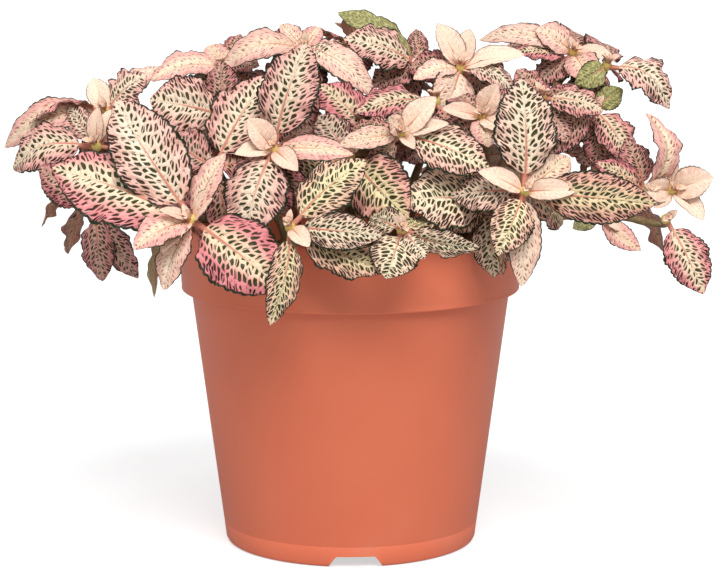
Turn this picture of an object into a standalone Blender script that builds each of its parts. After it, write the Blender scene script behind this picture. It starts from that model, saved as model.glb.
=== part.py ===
"""A potted nerve plant: a 12 cm grower pot, its soil, branching stems and whorls of leaves.

The frame is +Z up with the origin on the floor under the middle of the pot.
+X is the plant's right and -Y its front. Sizes in the tables are millimetres.
"""

import math
import random

import bmesh
import bpy
from mathutils import Matrix, Vector
from mathutils.bvhtree import BVHTree

MM = 0.001

# The pot: outer sizes of a moulded 12 cm grower pot.
POT_HEIGHT = 112.6
RIM_RADIUS = 60.0
COLLAR_LOW_RADIUS = 59.2
COLLAR_BOTTOM = 89.8
BODY_TOP_RADIUS = 55.8
BODY_LOW_RADIUS = 44.0
HEEL = 1.5
WALL = 1.6
FOOT_HEIGHT = 6.0
FLOOR_TOP = 7.8
NOTCH_HEIGHT = 3.9
NOTCH_TOP_WIDTH = 15.2
NOTCH_LOW_WIDTH = 18.4
NOTCH_ANGLES = (-87.5, 32.5, 152.5)
DRAIN_RADIUS = 4.0
DRAIN_CIRCLE = 28.0
DRAINS = 6
POT_SIDES = 44
SOIL_SIDES = 32
SHARP_ANGLE = 35

# The soil fills the pot to a little under the rim.
SOIL_TOP = 100.0
GAP = 0.3

# Leaves and stems.
LEAF_THICK = 0.75
HUB_RADIUS = 2.2
HUB_HALF = 2.8
STEM_RADIUS = 1.5
STEM_SIDES = 5
STEM_STEPS = 6
CLEARANCE = 0.35
HEART = Vector((0, 0, 72))
STATIONS = (0.0, 0.3, 0.6, 0.84, 1.0)
SMALL_STATIONS = (0.0, 0.38, 0.74, 1.0)
SMALL_WIDTH = 14

# Older leaves under the shoots: how many are tried, how long they are, how far they rise and reach
# outwards, and how small they may get; then the lowest and the outermost shoot that has them.
LOWER_LEAVES = 6
LOWER_LENGTH = (20, 28)
LOWER_RISE = 6
LOWER_OUTWARD = 5
LEAST_LOWER = 0.5
LOWER_FROM = 123
LOWER_OUT = 95

# Ages of a leaf: how long its stalk is, and how far it is folded up along its midrib.
YOUNG, HALF, GROWN, OLD, PALE_BACK = range(5)
STALK = {YOUNG: 0.05, HALF: 0.08, GROWN: 0.14, OLD: 0.14, PALE_BACK: 0.1}
FOLD = {YOUNG: 0.30, HALF: 0.10, GROWN: -0.06, OLD: -0.10, PALE_BACK: -0.05}

# Each shoot: where its growing point is and the way it faces, then its leaves as
# (reach x, y, z from there to the leaf's tip, width, arch, roll in degrees, age).
SHOOTS = {
    "a": (
        (-51, -64, 122),
        (-4, -7, 6),
        [
            (-25, 8, 38, 25, 0.10, 0, GROWN),
            (-46, 10, 16, 28, 0.08, 0, GROWN),
            (30, -18, -20, 26, 0.12, 0, GROWN),
            (11, -4, 22, 13, 0.06, 0, HALF),
            (-18, -9, -8, 15, 0.12, 0, HALF),
            (-9, -9, -9, 9, 0.10, 0, YOUNG),
            (8, -7, 10, 9, 0.05, 0, YOUNG),
            (-9, -4, -22, 13, 0.10, 0, HALF),
            (-10, -6, 4, 5, 0.05, 0, YOUNG),
            (-13, 6, -26, 9, 0.22, 75, PALE_BACK),
            (17, -4, -24, 9, 0.08, 0, OLD),
        ],
    ),
    "b": (
        (-25, -52, 144),
        (-1, -8, 5),
        [
            (11, 4, 34, 21, 0.12, 0, GROWN),
            (-9, -15, -27, 22, 0.14, 0, GROWN),
            (26, -8, -1, 10, 0.10, 0, HALF),
            (-8, -4, 10, 10, 0.05, 0, YOUNG),
            (-12, -6, -1, 7, 0.08, 0, YOUNG),
            (8, -9, -6, 8, 0.08, 0, YOUNG),
            (12, 12, 6, 13, 0.08, 0, OLD),
        ],
    ),
    "c": (
        (-19, -73, 121),
        (-1, -7, 6),
        [
            (24, 4, 21, 19, 0.10, 0, GROWN),
            (29, -7, -2, 13, 0.12, 25, GROWN),
            (31, -7, -13, 16, -0.06, 0, OLD),
            (-6, -15, -29, 12, 0.14, -35, OLD),
            (6, -8, -5, 7, 0.08, 0, YOUNG),
            (-2, -5, 3, 4, 0.05, 0, YOUNG),
        ],
    ),
    "d": (
        (17, -73, 120),
        (1, -8, 5),
        [
            (-5, -9, -14, 17, 0.14, 0, GROWN),
            (24, -10, -4, 11, 0.10, 62, OLD),
            (7, -6, -8, 12, 0.12, 0, GROWN),
            (-3, -8, 5, 5, 0.05, 0, YOUNG),
            (-10, 14, 3, 12, 0.08, 0, OLD),
            (9, 14, 2, 12, 0.08, 0, OLD),
        ],
    ),
    "e": (
        (57, -61, 131),
        (2, -8, 5),
        [
            (-1, 6, 36, 22, 0.10, 0, GROWN),
            (42, -6, -3, 18, 0.10, 25, OLD),
            (-15, -5, 7, 8, 0.08, 0, YOUNG),
            (16, -6, 1, 8, 0.08, 10, YOUNG),
            (-9, -11, -19, 15, 0.14, 0, GROWN),
            (-1, -5, -30, 12, 0.06, 0, HALF),
            (-7, 0, -28, 8, 0.10, 70, OLD),
            (15, 8, 10, 12, 0.08, 0, HALF),
        ],
    ),
    "f": (
        (17, -53, 149),
        (0, -8, 5),
        [
            (28, -8, -10, 18, 0.10, 0, GROWN),
            (11, -2, 12, 10, 0.05, 0, YOUNG),
            (15, -6, 4, 6, 0.05, 0, YOUNG),
            (-20, -6, -3, 9, 0.08, 0, HALF),
            (-4, -6, 6, 8, 0.04, 0, HALF),
            (4, -7, -4, 5, 0.08, 0, YOUNG),
        ],
    ),
    "g": (
        (0, -48, 141),
        (1, -8, 5),
        [
            (19, -16, -18, 23, 0.12, 0, GROWN),
            (-10, 3, 13, 14, 0.08, 0, OLD),
            (-18, 2, -8, 16, 0.10, 0, OLD),
        ],
    ),
    "h": (
        (46, -48, 126),
        (0, -8, 5),
        [
            (-28, -14, 2, 24, 0.10, 0, GROWN),
            (-17, 2, 13, 15, 0.08, 0, OLD),
            (-14, 2, -9, 13, 0.10, 0, OLD),
        ],
    ),
    "j": (
        (-45, -45, 137),
        (-3, -8, 4),
        [
            (18, 12, 29, 25, 0.08, 0, GROWN),
            (-16, 8, 9, 17, 0.08, 0, OLD),
            (14, 4, 2, 15, 0.08, 0, OLD),
        ],
    ),
    "k": (
        (-42, -22, 152),
        (-3, -8, 4),
        [
            (-25, -5, 6, 23, 0.08, 0, GROWN),
            (-2, 4, 18, 13, 0.08, 0, OLD),
            (18, 3, 8, 15, 0.10, 0, OLD),
        ],
    ),
    "l": (
        (-86, -24, 121),
        (-3, -9, 3),
        [
            (2, -6, -24, 13, 0.10, 0, OLD),
            (14, -7, -23, 12, 0.10, 15, OLD),
            (-19, -2, 14, 15, 0.10, 0, OLD),
            (20, -4, 4, 15, 0.08, 0, OLD),
        ],
    ),
    "m": (
        (29, -25, 157),
        (0, -5, 8),
        [
            (-27, -9, -3, 18, 0.12, 0, GROWN),
            (-22, -18, -12, 13, 0.12, 0, GROWN),
            (9, -8, -15, 13, 0.10, 0, OLD),
        ],
    ),
    "n": (
        (7, -30, 146),
        (0, -8, 5),
        [
            (-17, 0, 17, 18, 0.10, 0, GROWN),
            (-16, -3, 0, 14, 0.08, 0, OLD),
            (8, 4, 16, 13, 0.08, 0, OLD),
        ],
    ),
    "p": (
        (100, -28, 127),
        (3, -8, 4),
        [
            (-17, -4, 10, 11, 0.12, 0, GROWN),
            (0, 2, 26, 15, 0.34, 28, HALF),
            (-6, 8, 17, 13, 0.08, 0, OLD),
            (-20, -6, -2, 13, 0.08, 0, OLD),
        ],
    ),
    "q": (
        (65, -20, 158),
        (0, -6, 7),
        [
            (20, -6, -4, 15, 0.12, 0, GROWN),
            (-10, -6, 2, 9, 0.10, 0, HALF),
            (-8, 4, 9, 12, 0.08, 0, OLD),
            (8, -8, -14, 12, 0.10, 0, OLD),
            (-12, -3, -12, 13, 0.10, 0, OLD),
        ],
    ),
    "r": (
        (-87, -14, 141),
        (-3, -8, 6),
        [
            (-29, 4, -8, 19, 0.28, 0, GROWN),
            (-10, 8, 13, 10, 0.08, 0, GROWN),
            (1, -1, 13, 7, 0.06, 0, YOUNG),
            (5, 2, 12, 6, 0.06, 0, YOUNG),
            (12, 8, 8, 14, 0.08, 0, OLD),
        ],
    ),
    "s": (
        (106, -38, 119),
        (1, -9, 3),
        [
            (12, -7, -24, 16, 0.10, 0, GROWN),
        ],
    ),
    "t": (
        (-85, 2, 151),
        (-2, -6, 7),
        [
            (-35, -2, -12, 14, 0.36, -32, HALF),
            (14, -2, 13, 19, 0.12, 0, GROWN),
            (-25, -13, -3, 13, 0.22, 20, GROWN),
            (-5, 6, 11, 9, 0.06, 0, YOUNG),
            (18, 8, 15, 12, 0.10, 0, HALF),
            (16, -4, -8, 13, 0.08, 0, OLD),
        ],
    ),
    "u": (
        (84, -36, 121),
        (2, -8, 3),
        [
            (13, -5, -12, 9, -0.18, 0, HALF),
            (-9, -3, -5, 7, 0.12, 0, PALE_BACK),
            (7, 1, -6, 5, 0.10, 0, YOUNG),
        ],
    ),
    "v": (
        (38, -8, 167),
        (0, -6, 7),
        [
            (-8, 2, 15, 10, 0.06, 0, YOUNG),
            (3, 3, 13, 8, 0.05, 0, YOUNG),
            (21, -6, 5, 10, 0.08, 0, YOUNG),
            (-16, -7, -3, 10, 0.14, 0, HALF),
            (-7, -12, -15, 16, 0.10, 0, HALF),
            (6, -5, -1, 4, 0.05, 0, YOUNG),
            (18, -9, -8, 11, 0.26, 0, GROWN),
            (14, 2, -15, 13, 0.08, 0, OLD),
        ],
    ),
    "w": (
        (44, -34, 153),
        (0, -8, 5),
        [
            (5, -4, 11, 9, 0.05, 0, YOUNG),
            (7, -8, -4, 8, 0.08, 0, YOUNG),
            (-13, -6, 3, 7, 0.06, 0, YOUNG),
            (2, -9, -9, 11, 0.10, 0, HALF),
            (14, 4, 6, 13, 0.08, 0, OLD),
            (-12, 2, -8, 13, 0.08, 0, OLD),
        ],
    ),
    "x": (
        (24, 4, 167),
        (-1, -7, 6),
        [
            (-26, -9, 10, 18, 0.12, 0, GROWN),
            (-28, 8, 18, 11, 0.18, 0, PALE_BACK),
            (-1, 8, 12, 8, 0.06, 0, OLD),
            (-16, -5, -6, 14, 0.08, 0, OLD),
            (-8, 2, -17, 13, 0.08, 0, OLD),
        ],
    ),
    "y": (
        (-16, 2, 173),
        (0, -7, 6),
        [
            (14, -11, -7, 15, 0.25, 0, GROWN),
            (-5, -10, -5, 10, 0.10, 0, YOUNG),
            (-8, 3, 8, 8, 0.08, 0, HALF),
            (-28, -6, -6, 13, 0.28, 0, HALF),
            (24, -15, -15, 13, 0.22, 0, HALF),
            (5, 6, 7, 8, 0.08, 0, HALF),
            (-16, 5, 2, 12, 0.10, 0, OLD),
            (-13, -2, -14, 13, 0.10, 0, OLD),
            (6, 2, -20, 13, 0.08, 0, OLD),
        ],
    ),
    "z": (
        (-44, 10, 166),
        (-1, -5, 7),
        [
            (-25, -7, -4, 15, 0.16, 0, HALF),
            (-6, 4, 7, 10, 0.10, 0, HALF),
            (5, 6, 11, 10, 0.08, 0, OLD),
            (12, -7, 1, 10, 0.10, 0, OLD),
            (-10, -10, -8, 13, 0.10, 0, OLD),
            (14, -2, -12, 13, 0.10, 0, OLD),
        ],
    ),
    "aa": (
        (77, -2, 172),
        (1, -7, 6),
        [
            (-13, -2, 8, 13, 0.12, 0, HALF),
            (-32, 4, 4, 10, 0.20, 0, HALF),
            (5, -10, -9, 13, 0.12, 0, HALF),
            (13, -4, -1, 7, 0.08, 0, YOUNG),
            (-20, -8, 1, 10, 0.08, 0, GROWN),
            (-12, -5, -10, 13, 0.08, 0, OLD),
        ],
    ),
    "bb": (
        (88, -8, 168),
        (2, -7, 7),
        [
            (21, -6, -14, 17, 0.32, 0, GROWN),
            (-11, -6, -6, 10, 0.12, 0, PALE_BACK),
            (4, 9, -4, 11, 0.10, 0, OLD),
            (-8, -2, -13, 12, 0.10, 0, OLD),
        ],
    ),
    "cc": (
        (83, -14, 154),
        (3, -8, 4),
        [
            (12, -8, -17, 15, 0.12, 0, GROWN),
            (10, 2, 6, 9, 0.08, 0, PALE_BACK),
            (-9, -6, -11, 11, 0.10, 0, OLD),
            (-14, 3, -2, 12, 0.10, 0, OLD),
            (2, -3, -20, 13, 0.10, 0, OLD),
        ],
    ),
    "dd": (
        (109, -26, 127),
        (3, -8, 4),
        [
            (13, -4, 5, 12, 0.06, 0, YOUNG),
            (-10, -6, 2, 9, 0.06, 0, YOUNG),
            (10, -6, -9, 8, 0.12, 0, YOUNG),
            (-6, -5, -5, 5, 0.06, 0, YOUNG),
            (0, 2, 12, 5, 0.05, 0, YOUNG),
        ],
    ),
}

# The far side, which follows the habit of the near side: growing points, then how many leaves.
FAR_SHOOTS = {
    "back_a": ((52, 36, 152), 8),
    "back_b": ((2, 34, 172), 9),
    "back_c": ((-50, 38, 152), 8),
    "back_d": ((86, 26, 132), 7),
    "back_e": ((40, 66, 124), 8),
    "back_f": ((-6, 60, 138), 9),
    "back_g": ((-50, 62, 120), 7),
    "back_h": ((-88, 22, 126), 7),
}

# Stems: the foot on the soil, then the shoots that the stem passes and ends in.
STEMS = (
    ((-40, -14), ("l", "r")),
    ((-38, 4), ("t",)),
    ((-26, -14), ("j", "k", "z")),
    ((-30, -30), ("a",)),
    ((-15, -30), ("b",)),
    ((-8, -38), ("c",)),
    ((6, -38), ("d",)),
    ((32, -28), ("e",)),
    ((2, -24), ("g", "f")),
    ((-4, -12), ("n", "y")),
    ((22, -28), ("h", "w")),
    ((14, -12), ("m", "x")),
    ((18, 0), ("v",)),
    ((34, -10), ("q", "aa")),
    ((42, -2), ("cc", "bb")),
    ((42, -16), ("p", "dd")),
    ((38, -24), ("u", "s")),
    ((26, 24), ("back_e", "back_a")),
    ((-4, 30), ("back_f", "back_b")),
    ((-24, 20), ("back_c",)),
    ((38, 12), ("back_d",)),
    ((-34, 24), ("back_g", "back_h")),
)


def clear_scene():
    for obj in list(bpy.data.objects):
        bpy.data.objects.remove(obj, do_unlink=True)


def material(name, colour, roughness):
    """A plain Principled material."""
    made = bpy.data.materials.new(name)
    made.use_nodes = True
    shader = made.node_tree.nodes["Principled BSDF"]
    shader.inputs["Base Color"].default_value = (*colour, 1)
    shader.inputs["Roughness"].default_value = roughness
    shader.inputs["Metallic"].default_value = 0
    return made


def add_object(name, bm, paint, helper=False, smooth=False):
    """Turns a bmesh in millimetres into an object in metres."""
    bmesh.ops.recalc_face_normals(bm, faces=bm.faces)
    bmesh.ops.scale(bm, vec=(MM, MM, MM), verts=bm.verts)
    mesh = bpy.data.meshes.new(name)
    bm.to_mesh(mesh)
    bm.free()
    mesh.materials.append(paint)
    if smooth:
        mesh.shade_smooth()
        mesh.set_sharp_from_angle(angle=math.radians(SHARP_ANGLE))
    obj = bpy.data.objects.new(name, mesh)
    bpy.context.scene.collection.objects.link(obj)
    if helper:
        obj.hide_render = True
        obj.display_type = "WIRE"
    return obj


# Pot and soil


def pot_outline():
    """The pot's section as (radius, height): up its outside to the rim, then down its inside."""
    low = BODY_LOW_RADIUS
    slope = (BODY_TOP_RADIUS - low) / COLLAR_BOTTOM
    step = COLLAR_LOW_RADIUS - BODY_TOP_RADIUS

    def body(z):
        return low + slope * z

    return [
        (low - 3.6, 0.0),
        (low - HEEL, 0.0),
        (body(0.4) - 0.45, 0.4),
        (body(HEEL), HEEL),
        (body(COLLAR_BOTTOM - 0.2), COLLAR_BOTTOM - 0.2),
        (body(COLLAR_BOTTOM) + step * 0.55, COLLAR_BOTTOM),
        (COLLAR_LOW_RADIUS - 0.5, COLLAR_BOTTOM + 0.8),
        (COLLAR_LOW_RADIUS, COLLAR_BOTTOM + 2.6),
        (RIM_RADIUS, POT_HEIGHT - 0.8),
        (RIM_RADIUS - 0.4, POT_HEIGHT),
        (RIM_RADIUS - WALL + 0.3, POT_HEIGHT),
        (RIM_RADIUS - WALL, POT_HEIGHT - 0.7),
        (COLLAR_LOW_RADIUS - WALL, COLLAR_BOTTOM + 3.0),
        (BODY_TOP_RADIUS - WALL, COLLAR_BOTTOM - 0.5),
        (body(FLOOR_TOP) - WALL, FLOOR_TOP),
        (0.0, FLOOR_TOP),
        (0.0, FOOT_HEIGHT),
        (body(FOOT_HEIGHT) - WALL - 2.2, FOOT_HEIGHT),
    ]


def turned(outline, sides):
    """A solid of revolution about Z from a closed outline that may touch the axis."""
    bm = bmesh.new()
    verts = [bm.verts.new((radius, 0, height)) for radius, height in outline]
    pairs = zip(verts, verts[1:] + verts[:1])
    edges = [bm.edges.new(pair) for pair in pairs if pair[0].co.x + pair[1].co.x > 0]
    bmesh.ops.spin(
        bm,
        geom=verts + edges,
        axis=(0, 0, 1),
        cent=(0, 0, 0),
        angle=2 * math.pi,
        steps=sides,
        use_merge=True,
    )
    bmesh.ops.remove_doubles(bm, verts=bm.verts, dist=1e-4)
    return bm


def notch_cutter(angle):
    """A drain slot through the foot ring: a low arch, wider at the bottom."""
    bm = bmesh.new()
    top, low, high = NOTCH_TOP_WIDTH / 2, NOTCH_LOW_WIDTH / 2, NOTCH_HEIGHT
    shape = [
        (-low, -2.0),
        (low, -2.0),
        (low, 0.3),
        (top, high - 1.2),
        (top - 1.0, high),
        (1.0 - top, high),
        (-top, high - 1.2),
        (-low, 0.3),
    ]
    turn = Matrix.Rotation(math.radians(angle), 3, "Z")
    ends = [
        [bm.verts.new(turn @ Vector((x, across, z))) for across, z in shape]
        for x in (BODY_LOW_RADIUS - 9.0, BODY_LOW_RADIUS + 6.0)
    ]
    bm.faces.new(ends[0])
    bm.faces.new(ends[1])
    for k in range(len(shape)):
        n = (k + 1) % len(shape)
        bm.faces.new((ends[0][k], ends[0][n], ends[1][n], ends[1][k]))
    return bm


def cut(target, cutter):
    step = target.modifiers.new("cut", "BOOLEAN")
    step.operation = "DIFFERENCE"
    step.solver = "EXACT"
    step.object = cutter


def build_pot(paint):
    pot = add_object("pot", turned(pot_outline(), POT_SIDES), paint, smooth=True)
    for angle in NOTCH_ANGLES:
        cut(pot, add_object("notch_cutter", notch_cutter(angle), paint, helper=True))
    for k in range(DRAINS):
        angle = 2 * math.pi * (k + 0.5) / DRAINS + 0.05
        bm = bmesh.new()
        bmesh.ops.create_cone(
            bm,
            cap_ends=True,
            segments=10,
            radius1=DRAIN_RADIUS,
            radius2=DRAIN_RADIUS,
            depth=8,
            matrix=Matrix.Translation(
                (
                    DRAIN_CIRCLE * math.cos(angle),
                    DRAIN_CIRCLE * math.sin(angle),
                    (FLOOR_TOP + FOOT_HEIGHT) / 2,
                )
            ),
        )
        cut(pot, add_object("drain_cutter", bm, paint, helper=True))
    return pot


def soil_outline():
    low = BODY_LOW_RADIUS
    slope = (BODY_TOP_RADIUS - low) / COLLAR_BOTTOM
    inner_low = low + slope * FLOOR_TOP - WALL - GAP
    inner_body = BODY_TOP_RADIUS - WALL - GAP - 0.1
    inner_top = COLLAR_LOW_RADIUS - WALL - GAP
    return [
        (0.0, FLOOR_TOP + GAP),
        (inner_low - 0.3, FLOOR_TOP + GAP),
        (inner_body, COLLAR_BOTTOM - 0.8),
        (inner_top - 0.4, COLLAR_BOTTOM + 3.4),
        (inner_top - 0.2, SOIL_TOP - 1.5),
        (inner_top - 6, SOIL_TOP - 0.3),
        (0.0, SOIL_TOP),
    ]


# Leaves


def leaf_frame(leaf, axis):
    """The leaf's directions: along it, out of its upper face, and across it."""
    reach = Vector(leaf[:3])
    along = reach.normalized()
    normal = axis - along * axis.dot(along)
    if normal.length < 0.2:
        up = Vector((0, 0, 1))
        normal = normal + (up - along * up.dot(along)) * 0.3
    normal.normalize()
    normal.rotate(Matrix.Rotation(math.radians(leaf[5]), 3, along))
    return along, normal, normal.cross(along).normalized()


def blade_width(share, stalk):
    """Half the blade's width at a share of the leaf's length, as a share of its greatest half width."""
    if share <= stalk:
        return 0.0
    s = (share - stalk) / (1 - stalk)
    return (s**0.56) * ((1 - s) ** 0.68) / 0.4235


def midrib(leaf, axis, root, share):
    """A point of the midrib, with the upper face's direction there."""
    along, normal, side = leaf_frame(leaf, axis)
    reach = Vector(leaf[:3])
    length = reach.length
    turn = math.pi * share
    point = root + reach * share + normal * (leaf[4] * length * math.sin(turn))
    tangent = along + normal * (leaf[4] * math.pi * math.cos(turn))
    out = tangent.normalized().cross(side).normalized()
    if out.dot(normal) < 0:
        out.negate()
    return point, out, side


def leaf_solid(leaf, axis, root, extra=0.0, first=0.0):
    """The leaf as a closed thin solid: points and faces."""
    age = leaf[6]
    points, faces = [], []
    rings = []
    stations = SMALL_STATIONS if leaf[3] < SMALL_WIDTH else STATIONS
    for share in stations[:-1]:
        share = max(share, first)
        at, out, side = midrib(leaf, axis, root, share)
        half = max(0.8, leaf[3] / 2 * min(1.0, blade_width(share, STALK[age])))
        thick = LEAF_THICK / 2 + extra
        lift = out * (FOLD[age] * half)
        rings.append(len(points))
        edge = half + extra
        points += [
            at - side * edge + lift,
            at - out * thick,
            at + side * edge + lift,
            at + out * thick,
        ]
    tip, out, side = midrib(leaf, axis, root, 1.0)
    tip = tip + (tip - points[-1]).normalized() * extra
    points.append(tip)
    for one, two in zip(rings, rings[1:]):
        for k in range(4):
            n = (k + 1) % 4
            faces.append((one + k, one + n, two + n))
            faces.append((one + k, two + n, two + k))
    last = rings[-1]
    for k in range(4):
        faces.append((last + k, last + (k + 1) % 4, len(points) - 1))
    faces.append((rings[0] + 2, rings[0] + 1, rings[0]))
    faces.append((rings[0] + 3, rings[0] + 2, rings[0]))
    return points, faces


def hub_solid(axis, at, extra=0.0):
    """The growing point: a six sided spindle along the shoot's axis."""
    side = axis.orthogonal().normalized()
    other = axis.cross(side)
    radius, half = HUB_RADIUS + extra, HUB_HALF + extra
    points = [
        at
        + (
            side * math.cos(math.pi * k / 3) + other * math.sin(math.pi * k / 3)
        )
        * radius
        for k in range(6)
    ]
    points += [at - axis * half, at + axis * half]
    faces = []
    for k in range(6):
        n = (k + 1) % 6
        faces += [(k, n, 7), (n, k, 6)]
    return points, faces


def solid_of(bm):
    """A bmesh as plain triangles: points and faces."""
    bmesh.ops.triangulate(bm, faces=bm.faces)
    bm.verts.index_update()
    points = [v.co.copy() for v in bm.verts]
    faces = [tuple(v.index for v in f.verts) for f in bm.faces]
    bm.free()
    return points, faces


def bm_of(solid):
    bm = bmesh.new()
    verts = [bm.verts.new(p) for p in solid[0]]
    for face in solid[1]:
        bm.faces.new([verts[k] for k in face])
    return bm


# Stems


def smooth_path(points, steps):
    """Points along a Catmull-Rom curve through the given ones."""
    ends = [points[0] * 2 - points[1], *points, points[-1] * 2 - points[-2]]
    spans = len(points) - 1
    path = []
    for k in range(steps + 1):
        t = k / steps * spans
        i = min(int(t), spans - 1)
        t -= i
        a, b, c, d = ends[i : i + 4]
        path.append(
            0.5
            * (
                2 * b
                + (c - a) * t
                + (2 * a - 5 * b + 4 * c - d) * t * t
                + (3 * b - a - 3 * c + d) * t * t * t
            )
        )
    return path


def tube(path, radius, taper=0.8):
    points, faces = [], []
    side = Vector((1, 0, 0))
    for i, at in enumerate(path):
        ahead = path[min(i + 1, len(path) - 1)] - path[max(i - 1, 0)]
        ahead.normalize()
        side = (side - ahead * side.dot(ahead)).normalized()
        other = ahead.cross(side)
        r = radius * (1 + (taper - 1) * i / (len(path) - 1))
        for k in range(STEM_SIDES):
            turn = 2 * math.pi * k / STEM_SIDES
            points.append(at + (side * math.cos(turn) + other * math.sin(turn)) * r)
    n = STEM_SIDES
    for i in range(len(path) - 1):
        for k in range(n):
            m = (k + 1) % n
            faces.append((i * n + k, i * n + m, i * n + n + m))
            faces.append((i * n + k, i * n + n + m, i * n + n + k))
    for k in range(1, n - 1):
        faces.append((0, k + 1, k))
        last = (len(path) - 1) * n
        faces.append((last, last + k, last + k + 1))
    return points, faces


def stem_path(foot, chain, axes, places, lift):
    """A stem rises from the soil, passes behind its lower shoots and ends under the last."""
    start = Vector((foot[0], foot[1], SOIL_TOP + GAP + 0.2))
    last = chain[-1]
    end = places[last] - axes[last] * (HUB_HALF + GAP)
    route = [start, start + Vector((foot[0] * 0.08, foot[1] * 0.08, lift))]
    behind = HUB_HALF + STEM_RADIUS + GAP + 0.3
    for name in chain[:-1]:
        route.append(places[name] - axes[name] * behind)
    before = end - axes[last] * 7
    if (before - route[-1]).length > 8:
        route.append(before)
    route.append(end)
    steps = STEM_STEPS + 3 * (len(chain) - 1)
    return smooth_path(route, steps)


def stem_ways(foot, chain, axes, places):
    """The stem's path as drawn, then with its foot moved round a little and its first rise changed."""
    for swing in (0, 8, -8, 16, -16, 24, -24, 32, -32):
        turn = Matrix.Rotation(math.radians(swing), 2)
        for pull in (1.0, 0.85, 1.15):
            for lift in (10, 14, 18, 22, 26, 6, 30):
                yield stem_path(turn @ Vector(foot) * pull, chain, axes, places, lift)


# Placing


def far_axis(at):
    """A far shoot faces away from the plant's heart and up to the light."""
    out = (at - HEART).normalized()
    return (out + Vector((0, 0, 0.25))).normalized()


def far_leaves(name, at, count):
    """Leaves in crossed pairs: the outer ones are the longest and lie lowest."""
    dice = random.Random(name)
    axis = far_axis(at)
    side = axis.cross(Vector((0, 0, 1))).normalized()
    up = side.cross(axis).normalized()
    start = dice.uniform(0, math.pi)
    leaves = []
    for k in range(count):
        pair = k // 2
        turn = start + math.pi * (k % 2) + math.pi / 2 * (pair % 2) + pair * 0.4
        turn += dice.uniform(-0.2, 0.2)
        length = (37, 27, 17, 11)[min(pair, 3)] * dice.uniform(0.88, 1.08)
        rise = (-0.15, 0.15, 0.5, 0.8)[min(pair, 3)] + dice.uniform(-0.1, 0.1)
        way = (side * math.cos(turn) + up * math.sin(turn)) * math.cos(rise)
        way += axis * math.sin(rise)
        reach = way * length
        reach.z -= length * 0.10
        width = length * (0.55, 0.56, 0.5, 0.45)[min(pair, 3)]
        age = (GROWN, GROWN, HALF, YOUNG)[min(pair, 3)]
        arch = dice.uniform(0.08, 0.2)
        leaves.append((reach.x, reach.y, reach.z, width, arch, dice.uniform(-12, 12), age))
    return leaves


def lower_leaves(name, at, axis):
    """Older leaves from the joint below a shoot, which turn back into the plant.

    Each points from the plant's front or back towards its middle, and not far outwards.
    Shoots that hang low or stand far out have none.
    """
    away = Vector((at.x, at.y, 0))
    if at.z < LOWER_FROM or away.length > LOWER_OUT:
        return []
    dice = random.Random("lower " + name)
    side = axis.cross(Vector((0, 0, 1))).normalized()
    up = side.cross(axis).normalized()
    leaves = []
    for k in range(LOWER_LEAVES):
        turn = math.pi * (2 * k + 1) / LOWER_LEAVES + dice.uniform(-0.3, 0.3)
        back = dice.uniform(0.35, 0.8)
        way = (side * math.cos(turn) + up * math.sin(turn)) * math.cos(back)
        way -= axis * math.sin(back)
        reach = way * dice.uniform(*LOWER_LENGTH)
        reach.z = min(reach.z, LOWER_RISE)
        width = reach.length * 0.55
        roll = dice.uniform(-15, 15)
        if reach.dot(away) < away.length * LOWER_OUTWARD and reach.y * at.y < 0:
            leaves.append((reach.x, reach.y, reach.z, width, 0.12, roll, OLD))
    return leaves


class Placed:
    """Solids that later ones have to stay clear of."""

    def __init__(self):
        self.items = []

    def add(self, owner, solid):
        low = [min(p[i] for p in solid[0]) for i in range(3)]
        high = [max(p[i] for p in solid[0]) for i in range(3)]
        tree = BVHTree.FromPolygons(solid[0], solid[1], epsilon=0.0)
        self.items.append((owner, low, high, tree))

    def clear(self, owner, solid):
        low = [min(p[i] for p in solid[0]) for i in range(3)]
        high = [max(p[i] for p in solid[0]) for i in range(3)]
        tree = None
        for other, lo, hi, theirs in self.items:
            if other == owner:
                continue
            if any(low[i] > hi[i] or lo[i] > high[i] for i in range(3)):
                continue
            if tree is None:
                tree = BVHTree.FromPolygons(solid[0], solid[1], epsilon=0.0)
            if tree.overlap(theirs):
                return False
        return True


def variants(leaf):
    """The leaf as drawn, then small changes of it: first in depth, then in tilt and size."""
    yield leaf
    x, y, z, width, arch, roll, age = leaf
    for scale in (1.0, 0.92, 0.82, 0.7, 0.55, 0.4):
        for deep in (0, -3, 3, -6, 6, -9, 9, -12, 12):
            for extra in (0.0, 0.07, -0.07, 0.15):
                for turn in (0, 14, -14, 28, -28):
                    if deep == extra == turn == 0 and scale == 1.0:
                        continue
                    yield (
                        x * scale,
                        (y + deep) * scale,
                        z * scale,
                        width * min(1.0, scale + 0.04),
                        arch + extra,
                        roll + turn,
                        age,
                    )


def settle(shoots, axes, places, placed):
    """Every leaf in a place where it touches nothing but its own shoot.

    A leaf that finds no such place is left out.
    """
    order = []
    for name, leaves in shoots.items():
        for k, leaf in enumerate(leaves):
            order.append((places[name].y > 0, -leaf[3], name, k))
    order.sort(key=lambda row: (row[0], row[1]))
    settled = {name: {} for name in shoots}
    for _, _, name, k in order:
        for leaf in variants(shoots[name][k]):
            solid = leaf_solid(leaf, axes[name], places[name], CLEARANCE, 0.03)
            if placed.clear(name, solid):
                settled[name][k] = leaf
                placed.add(name, solid)
                break
    return {name: [found[k] for k in sorted(found)] for name, found in settled.items()}


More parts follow.
